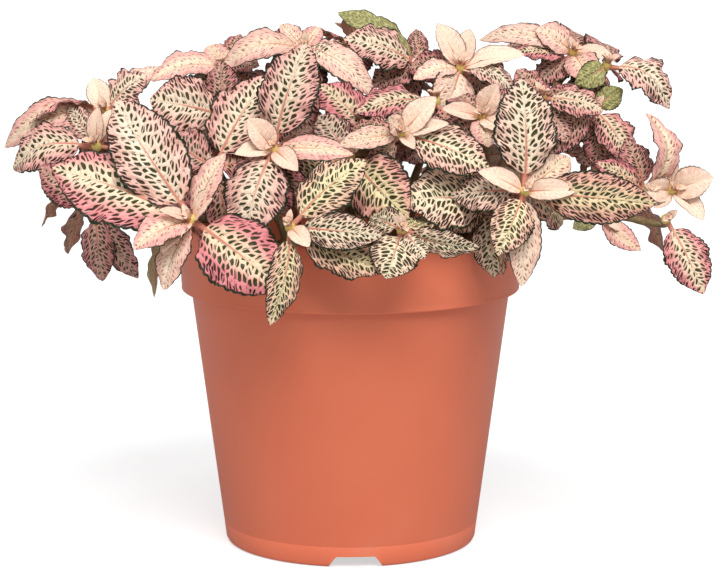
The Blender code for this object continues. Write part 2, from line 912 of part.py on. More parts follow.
def settle_lower(shoots, axes, places, placed):
    """Adds the lower leaves where there is room between everything else.

    Past its stalk such a leaf also stays clear of its own shoot.
    """
    for name in shoots:
        for drawn in lower_leaves(name, places[name], axes[name]):
            least = Vector(drawn[:3]).length * LEAST_LOWER
            for leaf in variants(drawn):
                if Vector(leaf[:3]).length < least:
                    break
                solid = leaf_solid(leaf, axes[name], places[name], CLEARANCE, 0.03)
                blade = leaf_solid(leaf, axes[name], places[name], CLEARANCE, 0.12)
                if placed.clear(name, solid) and placed.clear(None, blade):
                    shoots[name].append(leaf)
                    placed.add(name, solid)
                    break


def build_shoot(name, leaves, axis, at, paints):
    """One shoot: its growing point with every leaf joined to it."""
    helpers = bpy.data.collections.new(name + "_leaves")
    bpy.context.scene.collection.children.link(helpers)
    helpers.hide_render = True
    for leaf in leaves:
        root = at + Vector(leaf[:3]).normalized() * 0.5
        solid = leaf_solid(leaf, axis, root)
        obj = add_object(name + "_leaf", bm_of(solid), paints["leaf"], helper=True)
        bpy.context.scene.collection.objects.unlink(obj)
        helpers.objects.link(obj)
    hub = add_object("shoot_" + name, bm_of(hub_solid(axis, at)), paints["leaf"])
    if leaves:
        join = hub.modifiers.new("join", "BOOLEAN")
        join.operation = "UNION"
        join.solver = "EXACT"
        join.operand_type = "COLLECTION"
        join.collection = helpers
    return hub


def main():
    clear_scene()
    paints = {
        "pot": material("terracotta plastic", (0.60, 0.17, 0.09), 0.45),
        "soil": material("soil", (0.03, 0.022, 0.018), 0.95),
        "stem": material("stem", (0.28, 0.12, 0.09), 0.6),
        "leaf": material("leaf", (0.55, 0.28, 0.24), 0.5),
    }
    build_pot(paints["pot"])
    add_object("potting_soil", turned(soil_outline(), SOIL_SIDES), paints["soil"], smooth=True)

    shoots = {name: list(leaves) for name, (_, _, leaves) in SHOOTS.items()}
    places = {name: Vector(at) for name, (at, _, _) in SHOOTS.items()}
    axes = {name: Vector(face).normalized() for name, (_, face, _) in SHOOTS.items()}
    for name, (at, count) in FAR_SHOOTS.items():
        places[name] = Vector(at)
        axes[name] = far_axis(places[name])
        shoots[name] = far_leaves(name, places[name], count)

    placed = Placed()
    placed.add("pot", solid_of(turned(pot_outline(), 36)))
    placed.add("soil", solid_of(turned(soil_outline(), 36)))
    for name, at in places.items():
        placed.add(name, hub_solid(axes[name], at, 0.1))
    for k, (foot, chain) in enumerate(STEMS):
        own = "stem_%02d" % (k + 1)
        for path in stem_ways(foot, chain, axes, places):
            fat = tube(path, STEM_RADIUS + 0.15)
            if placed.clear(own, fat):
                break
        placed.add(own, fat)
        add_object(own, bm_of(tube(path, STEM_RADIUS)), paints["stem"], smooth=True)
    shoots = settle(shoots, axes, places, placed)
    settle_lower(shoots, axes, places, placed)
    for name, leaves in shoots.items():
        build_shoot(name, leaves, axes[name], places[name], paints)


if __name__ == "__main__":
    main()
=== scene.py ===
"""A potted nerve plant: the finished pot, soil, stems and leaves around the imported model.

Lengths are in millimetres until a mesh is finished, when it is scaled to metres. +Z is up, the
origin is on the floor under the pot, +X is the plant's right and -Y is its front.
"""

import itertools
import logging
import math
import random
from collections.abc import Iterator
from dataclasses import dataclass, field
from enum import IntEnum

import bmesh
import bpy
from mathutils import Matrix, Vector, noise
from mathutils.bvhtree import BVHTree


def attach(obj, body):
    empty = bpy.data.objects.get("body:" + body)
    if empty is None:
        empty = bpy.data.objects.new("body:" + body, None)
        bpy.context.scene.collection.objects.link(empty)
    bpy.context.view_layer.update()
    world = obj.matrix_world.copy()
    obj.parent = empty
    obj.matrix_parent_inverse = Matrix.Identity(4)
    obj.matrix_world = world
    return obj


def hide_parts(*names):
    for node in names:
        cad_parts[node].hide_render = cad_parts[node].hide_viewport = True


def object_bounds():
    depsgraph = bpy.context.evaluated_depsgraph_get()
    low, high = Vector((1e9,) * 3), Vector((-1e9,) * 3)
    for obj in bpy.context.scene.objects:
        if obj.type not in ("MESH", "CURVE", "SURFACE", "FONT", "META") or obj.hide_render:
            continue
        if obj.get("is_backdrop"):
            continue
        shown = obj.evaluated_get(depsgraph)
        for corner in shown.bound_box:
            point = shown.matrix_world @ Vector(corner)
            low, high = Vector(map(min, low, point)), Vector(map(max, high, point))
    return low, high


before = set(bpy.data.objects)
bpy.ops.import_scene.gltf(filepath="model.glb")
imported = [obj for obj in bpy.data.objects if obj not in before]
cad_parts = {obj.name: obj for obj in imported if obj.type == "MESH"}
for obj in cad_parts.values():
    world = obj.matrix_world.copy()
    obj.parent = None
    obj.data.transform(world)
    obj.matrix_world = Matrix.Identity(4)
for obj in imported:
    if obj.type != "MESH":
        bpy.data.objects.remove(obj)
CAD_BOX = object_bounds()

log = logging.getLogger("nerve_plant")

MM = 0.001
UP = Vector((0, 0, 1))

# The heart of the plant, which far shoots face away from, the gap that pieces keep, and how much
# larger than themselves growing points, stems and leaves are while they are being settled.
HEART = Vector((0, 0, 72))
GAP = 0.3
HUB_CLEARANCE = 0.1
STEM_CLEARANCE = 0.15
CLEARANCE = 0.35
SOIL_TOP = 100.0

# Leaves, growing points and stems as the model holds them.
LEAF_THICK = 0.75
HUB_RADIUS = 2.2
HUB_HALF = 2.8
STEM_RADIUS = 1.5
STEM_SIDES = 5
STEM_STEPS = 6
STATIONS = (0.0, 0.3, 0.6, 0.84, 1.0)
SMALL_STATIONS = (0.0, 0.38, 0.74, 1.0)
SMALL_WIDTH = 14
SETTLING_SIDES = 36

# A blade's half width rises as one power of the share of its length and falls as another, over the
# greatest value that this gives.
BLADE_RISE = 0.56
BLADE_FALL = 0.68
BLADE_PEAK = 0.4235
LEAST_HALF_WIDTH = 0.8

# A leaf that is settled may get smaller, move in depth, arch more or less, and turn.
LEAF_SCALES = (1.0, 0.92, 0.82, 0.7, 0.55, 0.4)
LEAF_DEPTHS = (0, -3, 3, -6, 6, -9, 9, -12, 12)
LEAF_ARCHES = (0.0, 0.07, -0.07, 0.15)
LEAF_TURNS = (0, 14, -14, 28, -28)

# A stem that is settled may swing its foot round, pull it in or out, and rise more or less.
STEM_SWINGS = (0, 8, -8, 16, -16, 24, -24, 32, -32)
STEM_PULLS = (1.0, 0.85, 1.15)
STEM_LIFTS = (10, 14, 18, 22, 26, 6, 30)
STEM_LEAN = 0.08
LAST_RUN = 7
LEAST_RUN = 8

# The shares of a leaf's length past which it stays clear of other shoots, and, when it is a lower
# leaf, of its own shoot as well.
LEAF_FROM = 0.03
BLADE_FROM = 0.12

# Older leaves under the shoots: how many are tried, how long they are, how far they rise and reach
# outwards, and how small they may get; then the lowest and the outermost shoot that has them.
LOWER_LEAVES = 6
LOWER_LENGTH = (20, 28)
LOWER_RISE = 6
LOWER_OUTWARD = 5
LEAST_LOWER = 0.5
LOWER_FROM = 123
LOWER_OUT = 95


class Age(IntEnum):
    """How old a leaf is, which sets its fold, stalk and colours."""

    YOUNG = 0
    HALF = 1
    GROWN = 2
    OLD = 3
    PALE_BACK = 4


YOUNG, HALF, GROWN, OLD, PALE_BACK = Age
STALK = {YOUNG: 0.05, HALF: 0.08, GROWN: 0.14, OLD: 0.14, PALE_BACK: 0.1}
FOLD = {YOUNG: 0.30, HALF: 0.10, GROWN: -0.06, OLD: -0.10, PALE_BACK: -0.05}
WAVINESS = {YOUNG: 0.3, HALF: 0.6, GROWN: 1.0, OLD: 1.0, PALE_BACK: 1.0}

# How old each part looks, from 0 to 1.
MATURITY = {YOUNG: 0.08, HALF: 0.48, GROWN: 0.85, OLD: 1.0, PALE_BACK: 0.7}
STALK_MATURITY = 0.55
BUD_MATURITY = 0.15

# A far shoot's leaves in crossed pairs from the outermost in: length, rise out of the shoot's
# plane in radians, width as a share of the length, and age.
FAR_PAIRS = (
    (37, -0.15, 0.55, GROWN),
    (27, 0.15, 0.56, GROWN),
    (17, 0.5, 0.5, HALF),
    (11, 0.8, 0.45, YOUNG),
)

# Each shoot: where its growing point is and the way it faces, then its leaves as
# (reach x, y, z from there to the leaf's tip, width, arch, roll in degrees, age).
SHOOTS = {
    "a": (
        (-51, -64, 122),
        (-4, -7, 6),
        [
            (-25, 8, 38, 25, 0.10, 0, GROWN),
            (-46, 10, 16, 28, 0.08, 0, GROWN),
            (30, -18, -20, 26, 0.12, 0, GROWN),
            (11, -4, 22, 13, 0.06, 0, HALF),
            (-18, -9, -8, 15, 0.12, 0, HALF),
            (-9, -9, -9, 9, 0.10, 0, YOUNG),
            (8, -7, 10, 9, 0.05, 0, YOUNG),
            (-9, -4, -22, 13, 0.10, 0, HALF),
            (-10, -6, 4, 5, 0.05, 0, YOUNG),
            (-13, 6, -26, 9, 0.22, 75, PALE_BACK),
            (17, -4, -24, 9, 0.08, 0, OLD),
        ],
    ),
    "b": (
        (-25, -52, 144),
        (-1, -8, 5),
        [
            (11, 4, 34, 21, 0.12, 0, GROWN),
            (-9, -15, -27, 22, 0.14, 0, GROWN),
            (26, -8, -1, 10, 0.10, 0, HALF),
            (-8, -4, 10, 10, 0.05, 0, YOUNG),
            (-12, -6, -1, 7, 0.08, 0, YOUNG),
            (8, -9, -6, 8, 0.08, 0, YOUNG),
            (12, 12, 6, 13, 0.08, 0, OLD),
        ],
    ),
    "c": (
        (-19, -73, 121),
        (-1, -7, 6),
        [
            (24, 4, 21, 19, 0.10, 0, GROWN),
            (29, -7, -2, 13, 0.12, 25, GROWN),
            (31, -7, -13, 16, -0.06, 0, OLD),
            (-6, -15, -29, 12, 0.14, -35, OLD),
            (6, -8, -5, 7, 0.08, 0, YOUNG),
            (-2, -5, 3, 4, 0.05, 0, YOUNG),
        ],
    ),
    "d": (
        (17, -73, 120),
        (1, -8, 5),
        [
            (-5, -9, -14, 17, 0.14, 0, GROWN),
            (24, -10, -4, 11, 0.10, 62, OLD),
            (7, -6, -8, 12, 0.12, 0, GROWN),
            (-3, -8, 5, 5, 0.05, 0, YOUNG),
            (-10, 14, 3, 12, 0.08, 0, OLD),
            (9, 14, 2, 12, 0.08, 0, OLD),
        ],
    ),
    "e": (
        (57, -61, 131),
        (2, -8, 5),
        [
            (-1, 6, 36, 22, 0.10, 0, GROWN),
            (42, -6, -3, 18, 0.10, 25, OLD),
            (-15, -5, 7, 8, 0.08, 0, YOUNG),
            (16, -6, 1, 8, 0.08, 10, YOUNG),
            (-9, -11, -19, 15, 0.14, 0, GROWN),
            (-1, -5, -30, 12, 0.06, 0, HALF),
            (-7, 0, -28, 8, 0.10, 70, OLD),
            (15, 8, 10, 12, 0.08, 0, HALF),
        ],
    ),
    "f": (
        (17, -53, 149),
        (0, -8, 5),
        [
            (28, -8, -10, 18, 0.10, 0, GROWN),
            (11, -2, 12, 10, 0.05, 0, YOUNG),
            (15, -6, 4, 6, 0.05, 0, YOUNG),
            (-20, -6, -3, 9, 0.08, 0, HALF),
            (-4, -6, 6, 8, 0.04, 0, HALF),
            (4, -7, -4, 5, 0.08, 0, YOUNG),
        ],
    ),
    "g": (
        (0, -48, 141),
        (1, -8, 5),
        [
            (19, -16, -18, 23, 0.12, 0, GROWN),
            (-10, 3, 13, 14, 0.08, 0, OLD),
            (-18, 2, -8, 16, 0.10, 0, OLD),
        ],
    ),
    "h": (
        (46, -48, 126),
        (0, -8, 5),
        [
            (-28, -14, 2, 24, 0.10, 0, GROWN),
            (-17, 2, 13, 15, 0.08, 0, OLD),
            (-14, 2, -9, 13, 0.10, 0, OLD),
        ],
    ),
    "j": (
        (-45, -45, 137),
        (-3, -8, 4),
        [
            (18, 12, 29, 25, 0.08, 0, GROWN),
            (-16, 8, 9, 17, 0.08, 0, OLD),
            (14, 4, 2, 15, 0.08, 0, OLD),
        ],
    ),
    "k": (
        (-42, -22, 152),
        (-3, -8, 4),
        [
            (-25, -5, 6, 23, 0.08, 0, GROWN),
            (-2, 4, 18, 13, 0.08, 0, OLD),
            (18, 3, 8, 15, 0.10, 0, OLD),
        ],
    ),
    "l": (
        (-86, -24, 121),
        (-3, -9, 3),
        [
            (2, -6, -24, 13, 0.10, 0, OLD),
            (14, -7, -23, 12, 0.10, 15, OLD),
            (-19, -2, 14, 15, 0.10, 0, OLD),
            (20, -4, 4, 15, 0.08, 0, OLD),
        ],
    ),
    "m": (
        (29, -25, 157),
        (0, -5, 8),
        [
            (-27, -9, -3, 18, 0.12, 0, GROWN),
            (-22, -18, -12, 13, 0.12, 0, GROWN),
            (9, -8, -15, 13, 0.10, 0, OLD),
        ],
    ),
    "n": (
        (7, -30, 146),
        (0, -8, 5),
        [
            (-17, 0, 17, 18, 0.10, 0, GROWN),
            (-16, -3, 0, 14, 0.08, 0, OLD),
            (8, 4, 16, 13, 0.08, 0, OLD),
        ],
    ),
    "p": (
        (100, -28, 127),
        (3, -8, 4),
        [
            (-17, -4, 10, 11, 0.12, 0, GROWN),
            (0, 2, 26, 15, 0.34, 28, HALF),
            (-6, 8, 17, 13, 0.08, 0, OLD),
            (-20, -6, -2, 13, 0.08, 0, OLD),
        ],
    ),
    "q": (
        (65, -20, 158),
        (0, -6, 7),
        [
            (20, -6, -4, 15, 0.12, 0, GROWN),
            (-10, -6, 2, 9, 0.10, 0, HALF),
            (-8, 4, 9, 12, 0.08, 0, OLD),
            (8, -8, -14, 12, 0.10, 0, OLD),
            (-12, -3, -12, 13, 0.10, 0, OLD),
        ],
    ),
    "r": (
        (-87, -14, 141),
        (-3, -8, 6),
        [
            (-29, 4, -8, 19, 0.28, 0, GROWN),
            (-10, 8, 13, 10, 0.08, 0, GROWN),
            (1, -1, 13, 7, 0.06, 0, YOUNG),
            (5, 2, 12, 6, 0.06, 0, YOUNG),
            (12, 8, 8, 14, 0.08, 0, OLD),
        ],
    ),
    "s": (
        (106, -38, 119),
        (1, -9, 3),
        [
            (12, -7, -24, 16, 0.10, 0, GROWN),
        ],
    ),
    "t": (
        (-85, 2, 151),
        (-2, -6, 7),
        [
            (-35, -2, -12, 14, 0.36, -32, HALF),
            (14, -2, 13, 19, 0.12, 0, GROWN),
            (-25, -13, -3, 13, 0.22, 20, GROWN),
            (-5, 6, 11, 9, 0.06, 0, YOUNG),
            (18, 8, 15, 12, 0.10, 0, HALF),
            (16, -4, -8, 13, 0.08, 0, OLD),
        ],
    ),
    "u": (
        (84, -36, 121),
        (2, -8, 3),
        [
            (13, -5, -12, 9, -0.18, 0, HALF),
            (-9, -3, -5, 7, 0.12, 0, PALE_BACK),
            (7, 1, -6, 5, 0.10, 0, YOUNG),
        ],
    ),
    "v": (
        (38, -8, 167),
        (0, -6, 7),
        [
            (-8, 2, 15, 10, 0.06, 0, YOUNG),
            (3, 3, 13, 8, 0.05, 0, YOUNG),
            (21, -6, 5, 10, 0.08, 0, YOUNG),
            (-16, -7, -3, 10, 0.14, 0, HALF),
            (-7, -12, -15, 16, 0.10, 0, HALF),
            (6, -5, -1, 4, 0.05, 0, YOUNG),
            (18, -9, -8, 11, 0.26, 0, GROWN),
            (14, 2, -15, 13, 0.08, 0, OLD),
        ],
    ),
    "w": (
        (44, -34, 153),
        (0, -8, 5),
        [
            (5, -4, 11, 9, 0.05, 0, YOUNG),
            (7, -8, -4, 8, 0.08, 0, YOUNG),
            (-13, -6, 3, 7, 0.06, 0, YOUNG),
            (2, -9, -9, 11, 0.10, 0, HALF),
            (14, 4, 6, 13, 0.08, 0, OLD),
            (-12, 2, -8, 13, 0.08, 0, OLD),
        ],
    ),
    "x": (
        (24, 4, 167),
        (-1, -7, 6),
        [
            (-26, -9, 10, 18, 0.12, 0, GROWN),
            (-28, 8, 18, 11, 0.18, 0, PALE_BACK),
            (-1, 8, 12, 8, 0.06, 0, OLD),
            (-16, -5, -6, 14, 0.08, 0, OLD),
            (-8, 2, -17, 13, 0.08, 0, OLD),
        ],
    ),
    "y": (
        (-16, 2, 173),
        (0, -7, 6),
        [
            (14, -11, -7, 15, 0.25, 0, GROWN),
            (-5, -10, -5, 10, 0.10, 0, YOUNG),
            (-8, 3, 8, 8, 0.08, 0, HALF),
            (-28, -6, -6, 13, 0.28, 0, HALF),
            (24, -15, -15, 13, 0.22, 0, HALF),
            (5, 6, 7, 8, 0.08, 0, HALF),
            (-16, 5, 2, 12, 0.10, 0, OLD),
            (-13, -2, -14, 13, 0.10, 0, OLD),
            (6, 2, -20, 13, 0.08, 0, OLD),
        ],
    ),
    "z": (
        (-44, 10, 166),
        (-1, -5, 7),
        [
            (-25, -7, -4, 15, 0.16, 0, HALF),
            (-6, 4, 7, 10, 0.10, 0, HALF),
            (5, 6, 11, 10, 0.08, 0, OLD),
            (12, -7, 1, 10, 0.10, 0, OLD),
            (-10, -10, -8, 13, 0.10, 0, OLD),
            (14, -2, -12, 13, 0.10, 0, OLD),
        ],
    ),
    "aa": (
        (77, -2, 172),
        (1, -7, 6),
        [
            (-13, -2, 8, 13, 0.12, 0, HALF),
            (-32, 4, 4, 10, 0.20, 0, HALF),
            (5, -10, -9, 13, 0.12, 0, HALF),
            (13, -4, -1, 7, 0.08, 0, YOUNG),
            (-20, -8, 1, 10, 0.08, 0, GROWN),
            (-12, -5, -10, 13, 0.08, 0, OLD),
        ],
    ),
    "bb": (
        (88, -8, 168),
        (2, -7, 7),
        [
            (21, -6, -14, 17, 0.32, 0, GROWN),
            (-11, -6, -6, 10, 0.12, 0, PALE_BACK),
            (4, 9, -4, 11, 0.10, 0, OLD),
            (-8, -2, -13, 12, 0.10, 0, OLD),
        ],
    ),
    "cc": (
        (83, -14, 154),
        (3, -8, 4),
        [
            (12, -8, -17, 15, 0.12, 0, GROWN),
            (10, 2, 6, 9, 0.08, 0, PALE_BACK),
            (-9, -6, -11, 11, 0.10, 0, OLD),
            (-14, 3, -2, 12, 0.10, 0, OLD),
            (2, -3, -20, 13, 0.10, 0, OLD),
        ],
    ),
    "dd": (
        (109, -26, 127),
        (3, -8, 4),
        [
            (13, -4, 5, 12, 0.06, 0, YOUNG),
            (-10, -6, 2, 9, 0.06, 0, YOUNG),
            (10, -6, -9, 8, 0.12, 0, YOUNG),
            (-6, -5, -5, 5, 0.06, 0, YOUNG),
            (0, 2, 12, 5, 0.05, 0, YOUNG),
        ],
    ),
}

# The far side, which follows the habit of the near side: growing points, then how many leaves.
FAR_SHOOTS = {
    "back_a": ((52, 36, 152), 8),
    "back_b": ((2, 34, 172), 9),
    "back_c": ((-50, 38, 152), 8),
    "back_d": ((86, 26, 132), 7),
    "back_e": ((40, 66, 124), 8),
    "back_f": ((-6, 60, 138), 9),
    "back_g": ((-50, 62, 120), 7),
    "back_h": ((-88, 22, 126), 7),
}

# Stems: the foot on the soil, then the shoots that the stem passes and ends in.
STEMS = (
    ((-40, -14), ("l", "r")),
    ((-38, 4), ("t",)),
    ((-26, -14), ("j", "k", "z")),
    ((-30, -30), ("a",)),
    ((-15, -30), ("b",)),
    ((-8, -38), ("c",)),
    ((6, -38), ("d",)),
    ((32, -28), ("e",)),
    ((2, -24), ("g", "f")),
    ((-4, -12), ("n", "y")),
    ((22, -28), ("h", "w")),
    ((14, -12), ("m", "x")),
    ((18, 0), ("v",)),
    ((34, -10), ("q", "aa")),
    ((42, -2), ("cc", "bb")),
    ((42, -16), ("p", "dd")),
    ((38, -24), ("u", "s")),
    ((26, 24), ("back_e", "back_a")),
    ((-4, 30), ("back_f", "back_b")),
    ((-24, 20), ("back_c",)),
    ((38, 12), ("back_d",)),
    ((-34, 24), ("back_g", "back_h")),
)


# How the plant grows


@dataclass
class Solid:
    """A plain closed shape: its points, and its faces as indices into them."""

    points: list[Vector]
    faces: list[tuple[int, ...]]

    def reach(self) -> tuple[list[float], list[float]]:
        """The lowest and highest corner of the solid's box."""
        low = [min(p[i] for p in self.points) for i in range(3)]
        high = [max(p[i] for p in self.points) for i in range(3)]
        return low, high


@dataclass(frozen=True)
class Leaf:
    """One leaf, as it is drawn from its shoot's growing point.

    Attributes:
        x: Reach from the growing point to the tip, along X.
        y: The same along Y.
        z: The same along Z.
        width: The blade's greatest width.
        arch: How far the midrib rises above a straight line, as a share of the leaf's length.
        roll: Turn about the midrib, in degrees.
        age: The leaf's age.
    """

    x: float
    y: float
    z: float
    width: float
    arch: float
    roll: float
    age: Age

    @property
    def reach(self) -> Vector:
        """From the growing point to the tip."""
        return Vector((self.x, self.y, self.z))

    def directions(self, axis: Vector) -> tuple[Vector, Vector, Vector]:
        """The leaf's own directions.

        Args:
            axis: The way its shoot faces.

        Returns:
            Along the leaf, out of its upper face, and across it.
        """
        along = self.reach.normalized()
        normal = axis - along * axis.dot(along)
        if normal.length < 0.2:
            normal = normal + (UP - along * UP.dot(along)) * 0.3
        normal.normalize()
        normal.rotate(Matrix.Rotation(math.radians(self.roll), 3, along))
        return along, normal, normal.cross(along).normalized()

    def midrib(self, axis: Vector, root: Vector, share: float) -> tuple[Vector, Vector, Vector]:
        """A place on the midrib.

        Args:
            axis: The way the shoot faces.
            root: Where the leaf starts.
            share: How far along the leaf, from 0 to 1.

        Returns:
            The point, the upper face's direction there, and the direction across.
        """
        along, normal, side = self.directions(axis)
        length = self.reach.length
        turn = math.pi * share
        point = root + self.reach * share + normal * (self.arch * length * math.sin(turn))
        tangent = along + normal * (self.arch * math.pi * math.cos(turn))
        out = tangent.normalized().cross(side).normalized()
        if out.dot(normal) < 0:
            out.negate()
        return point, out, side

    def blade_share(self, share: float) -> float:
        """Half the blade's width at a share of the length, as a share of the greatest."""
        stalk = STALK[self.age]
        if share <= stalk:
            return 0.0
        s = (share - stalk) / (1 - stalk)
        return (s**BLADE_RISE) * ((1 - s) ** BLADE_FALL) / BLADE_PEAK

    def solid(self, axis: Vector, root: Vector, extra: float, first: float) -> Solid:
        """The leaf as the model holds it: a folded blade with four corners at each station.

        Args:
            axis: The way the shoot faces.
            root: Where the leaf starts.
            extra: How much larger than the leaf itself.
            first: The share of the length at which the solid starts.

        Returns:
            The closed solid.
        """
        points: list[Vector] = []
        faces: list[tuple[int, ...]] = []
        rings = []
        stations = SMALL_STATIONS if self.width < SMALL_WIDTH else STATIONS
        for share in stations[:-1]:
            share = max(share, first)
            at, out, side = self.midrib(axis, root, share)
            half = max(LEAST_HALF_WIDTH, self.width / 2 * min(1.0, self.blade_share(share)))
            thick = LEAF_THICK / 2 + extra
            lift = out * (FOLD[self.age] * half)
            rings.append(len(points))
            edge = half + extra
            points += [
                at - side * edge + lift,
                at - out * thick,
                at + side * edge + lift,
                at + out * thick,
            ]
        tip = self.midrib(axis, root, 1.0)[0]
        points.append(tip + (tip - points[-1]).normalized() * extra)
        for one, two in zip(rings, rings[1:]):
            for k in range(4):
                n = (k + 1) % 4
                faces.append((one + k, one + n, two + n))
                faces.append((one + k, two + n, two + k))
        last = rings[-1]
        for k in range(4):
            faces.append((last + k, last + (k + 1) % 4, len(points) - 1))
        faces.append((rings[0] + 2, rings[0] + 1, rings[0]))
        faces.append((rings[0] + 3, rings[0] + 2, rings[0]))
        return Solid(points, faces)

    def variants(self) -> Iterator["Leaf"]:
        """The leaf as drawn, then small changes of it: first in depth, then in tilt and size."""
        yield self
        changes = itertools.product(LEAF_SCALES, LEAF_DEPTHS, LEAF_ARCHES, LEAF_TURNS)
        for scale, deep, extra, turn in itertools.islice(changes, 1, None):
            yield Leaf(
                self.x * scale,
                (self.y + deep) * scale,
                self.z * scale,
                self.width * min(1.0, scale + 0.04),
                self.arch + extra,
                self.roll + turn,
                self.age,
            )


@dataclass
class Shoot:
    """A growing point and the leaves around it.

    Attributes:
        name: The shoot's name, without its node's prefix.
        at: Its growing point.
        axis: The way it faces.
        leaves: Its leaves.
    """

    name: str
    at: Vector
    axis: Vector
    leaves: list[Leaf]

    def hub(self, extra: float) -> Solid:
        """The growing point as the model holds it, a six sided spindle, and a little larger."""
        side = self.axis.orthogonal().normalized()
        other = self.axis.cross(side)
        radius, half = HUB_RADIUS + extra, HUB_HALF + extra
        turns = [math.pi * k / 3 for k in range(6)]
        points = [self.at + (side * math.cos(t) + other * math.sin(t)) * radius for t in turns]
        points += [self.at - self.axis * half, self.at + self.axis * half]
        faces = []
        for k in range(6):
            n = (k + 1) % 6
            faces += [(k, n, 7), (n, k, 6)]
        return Solid(points, faces)


def smooth_path(points: list[Vector], steps: int) -> list[Vector]:
    """Points along a Catmull-Rom curve.

    Args:
        points: The points that the curve passes through.
        steps: How many steps to take along it.

    Returns:
        One point more than the steps.
    """
    ends = [points[0] * 2 - points[1], *points, points[-1] * 2 - points[-2]]
    spans = len(points) - 1
    path = []
    for k in range(steps + 1):
        t = k / steps * spans
        i = min(int(t), spans - 1)
        t -= i
        a, b, c, d = ends[i : i + 4]
        square = (2 * a - 5 * b + 4 * c - d) * t * t
        cube = (3 * b - a - 3 * c + d) * t * t * t
        path.append(0.5 * (2 * b + (c - a) * t + square + cube))
    return path


def tube(path: list[Vector], radius: float, taper: float = 0.8) -> Solid:
    """A plain tube along a path, as the model holds a stem.

    Args:
        path: The points of its middle.
        radius: Its radius at the start.
        taper: Its radius at the end, as a share of that.

    Returns:
        The closed solid.
    """
    points: list[Vector] = []
    faces: list[tuple[int, ...]] = []
    side = Vector((1, 0, 0))
    for i, at in enumerate(path):
        ahead = path[min(i + 1, len(path) - 1)] - path[max(i - 1, 0)]
        ahead.normalize()
        side = (side - ahead * side.dot(ahead)).normalized()
        other = ahead.cross(side)
        r = radius * (1 + (taper - 1) * i / (len(path) - 1))
        for k in range(STEM_SIDES):
            turn = 2 * math.pi * k / STEM_SIDES
            points.append(at + (side * math.cos(turn) + other * math.sin(turn)) * r)
    n = STEM_SIDES
    for i in range(len(path) - 1):
        for k in range(n):
            m = (k + 1) % n
            faces.append((i * n + k, i * n + m, i * n + n + m))
            faces.append((i * n + k, i * n + n + m, i * n + n + k))
    for k in range(1, n - 1):
        faces.append((0, k + 1, k))
        last = (len(path) - 1) * n
        faces.append((last, last + k, last + k + 1))
    return Solid(points, faces)


@dataclass
class Stem:
    """A stem from its foot on the soil, past its lower shoots, to its last one.

    Attributes:
        number: Its number, from 1.
        foot: Where it leaves the soil, as (x, y).
        chain: The shoots that it passes, and the one that it ends in.
        route: The points that it passes through, once it is settled.
    """

    number: int
    foot: tuple[float, float]
    chain: tuple[str, ...]
    route: list[Vector] = field(default_factory=list)

    @property
    def node(self) -> str:
        """The name of the model's node for this stem."""
        return "stem_%02d" % self.number

    @property
    def steps(self) -> int:
        """How many steps the model's tube takes along its route."""
        return STEM_STEPS + 3 * (len(self.chain) - 1)

    def way(self, foot: Vector, shoots: dict[str, Shoot], lift: float) -> list[Vector]:
        """The points that the stem passes through.

        Args:
            foot: Where it leaves the soil.
            shoots: Every shoot by name.
            lift: How high it rises before it leans.

        Returns:
            The route's points.
        """
        start = Vector((foot[0], foot[1], SOIL_TOP + GAP + 0.2))
        last = shoots[self.chain[-1]]
        end = last.at - last.axis * (HUB_HALF + GAP)
        route = [start, start + Vector((foot[0] * STEM_LEAN, foot[1] * STEM_LEAN, lift))]
        behind = HUB_HALF + STEM_RADIUS + GAP + 0.3
        for name in self.chain[:-1]:
            route.append(shoots[name].at - shoots[name].axis * behind)
        before = end - last.axis * LAST_RUN
        if (before - route[-1]).length > LEAST_RUN:
            route.append(before)
        route.append(end)
        return route

    def ways(self, shoots: dict[str, Shoot]) -> Iterator[list[Vector]]:
        """The route as drawn, then with its foot and its first rise changed a little."""
        for swing, pull, lift in itertools.product(STEM_SWINGS, STEM_PULLS, STEM_LIFTS):
            turn = Matrix.Rotation(math.radians(swing), 2)
            yield self.way(turn @ Vector(self.foot) * pull, shoots, lift)


class Placed:
    """Solids that later ones have to stay clear of."""

    def __init__(self) -> None:
        """Starts with nothing placed."""
        self.items: list[tuple[str, list[float], list[float], BVHTree]] = []

    def add(self, owner: str, solid: Solid) -> None:
        """Puts a solid in its place for good."""
        low, high = solid.reach()
        tree = BVHTree.FromPolygons(solid.points, solid.faces, epsilon=0.0)
        self.items.append((owner, low, high, tree))

    def clear(self, owner: str, solid: Solid) -> bool:
        """Whether a solid touches nothing but what its own owner placed."""
        low, high = solid.reach()
        tree = None
        for other, lo, hi, theirs in self.items:
            if other == owner:
                continue
            if any(low[i] > hi[i] or lo[i] > high[i] for i in range(3)):
                continue
            if tree is None:
                tree = BVHTree.FromPolygons(solid.points, solid.faces, epsilon=0.0)
            if tree.overlap(theirs):
                return False
        return True


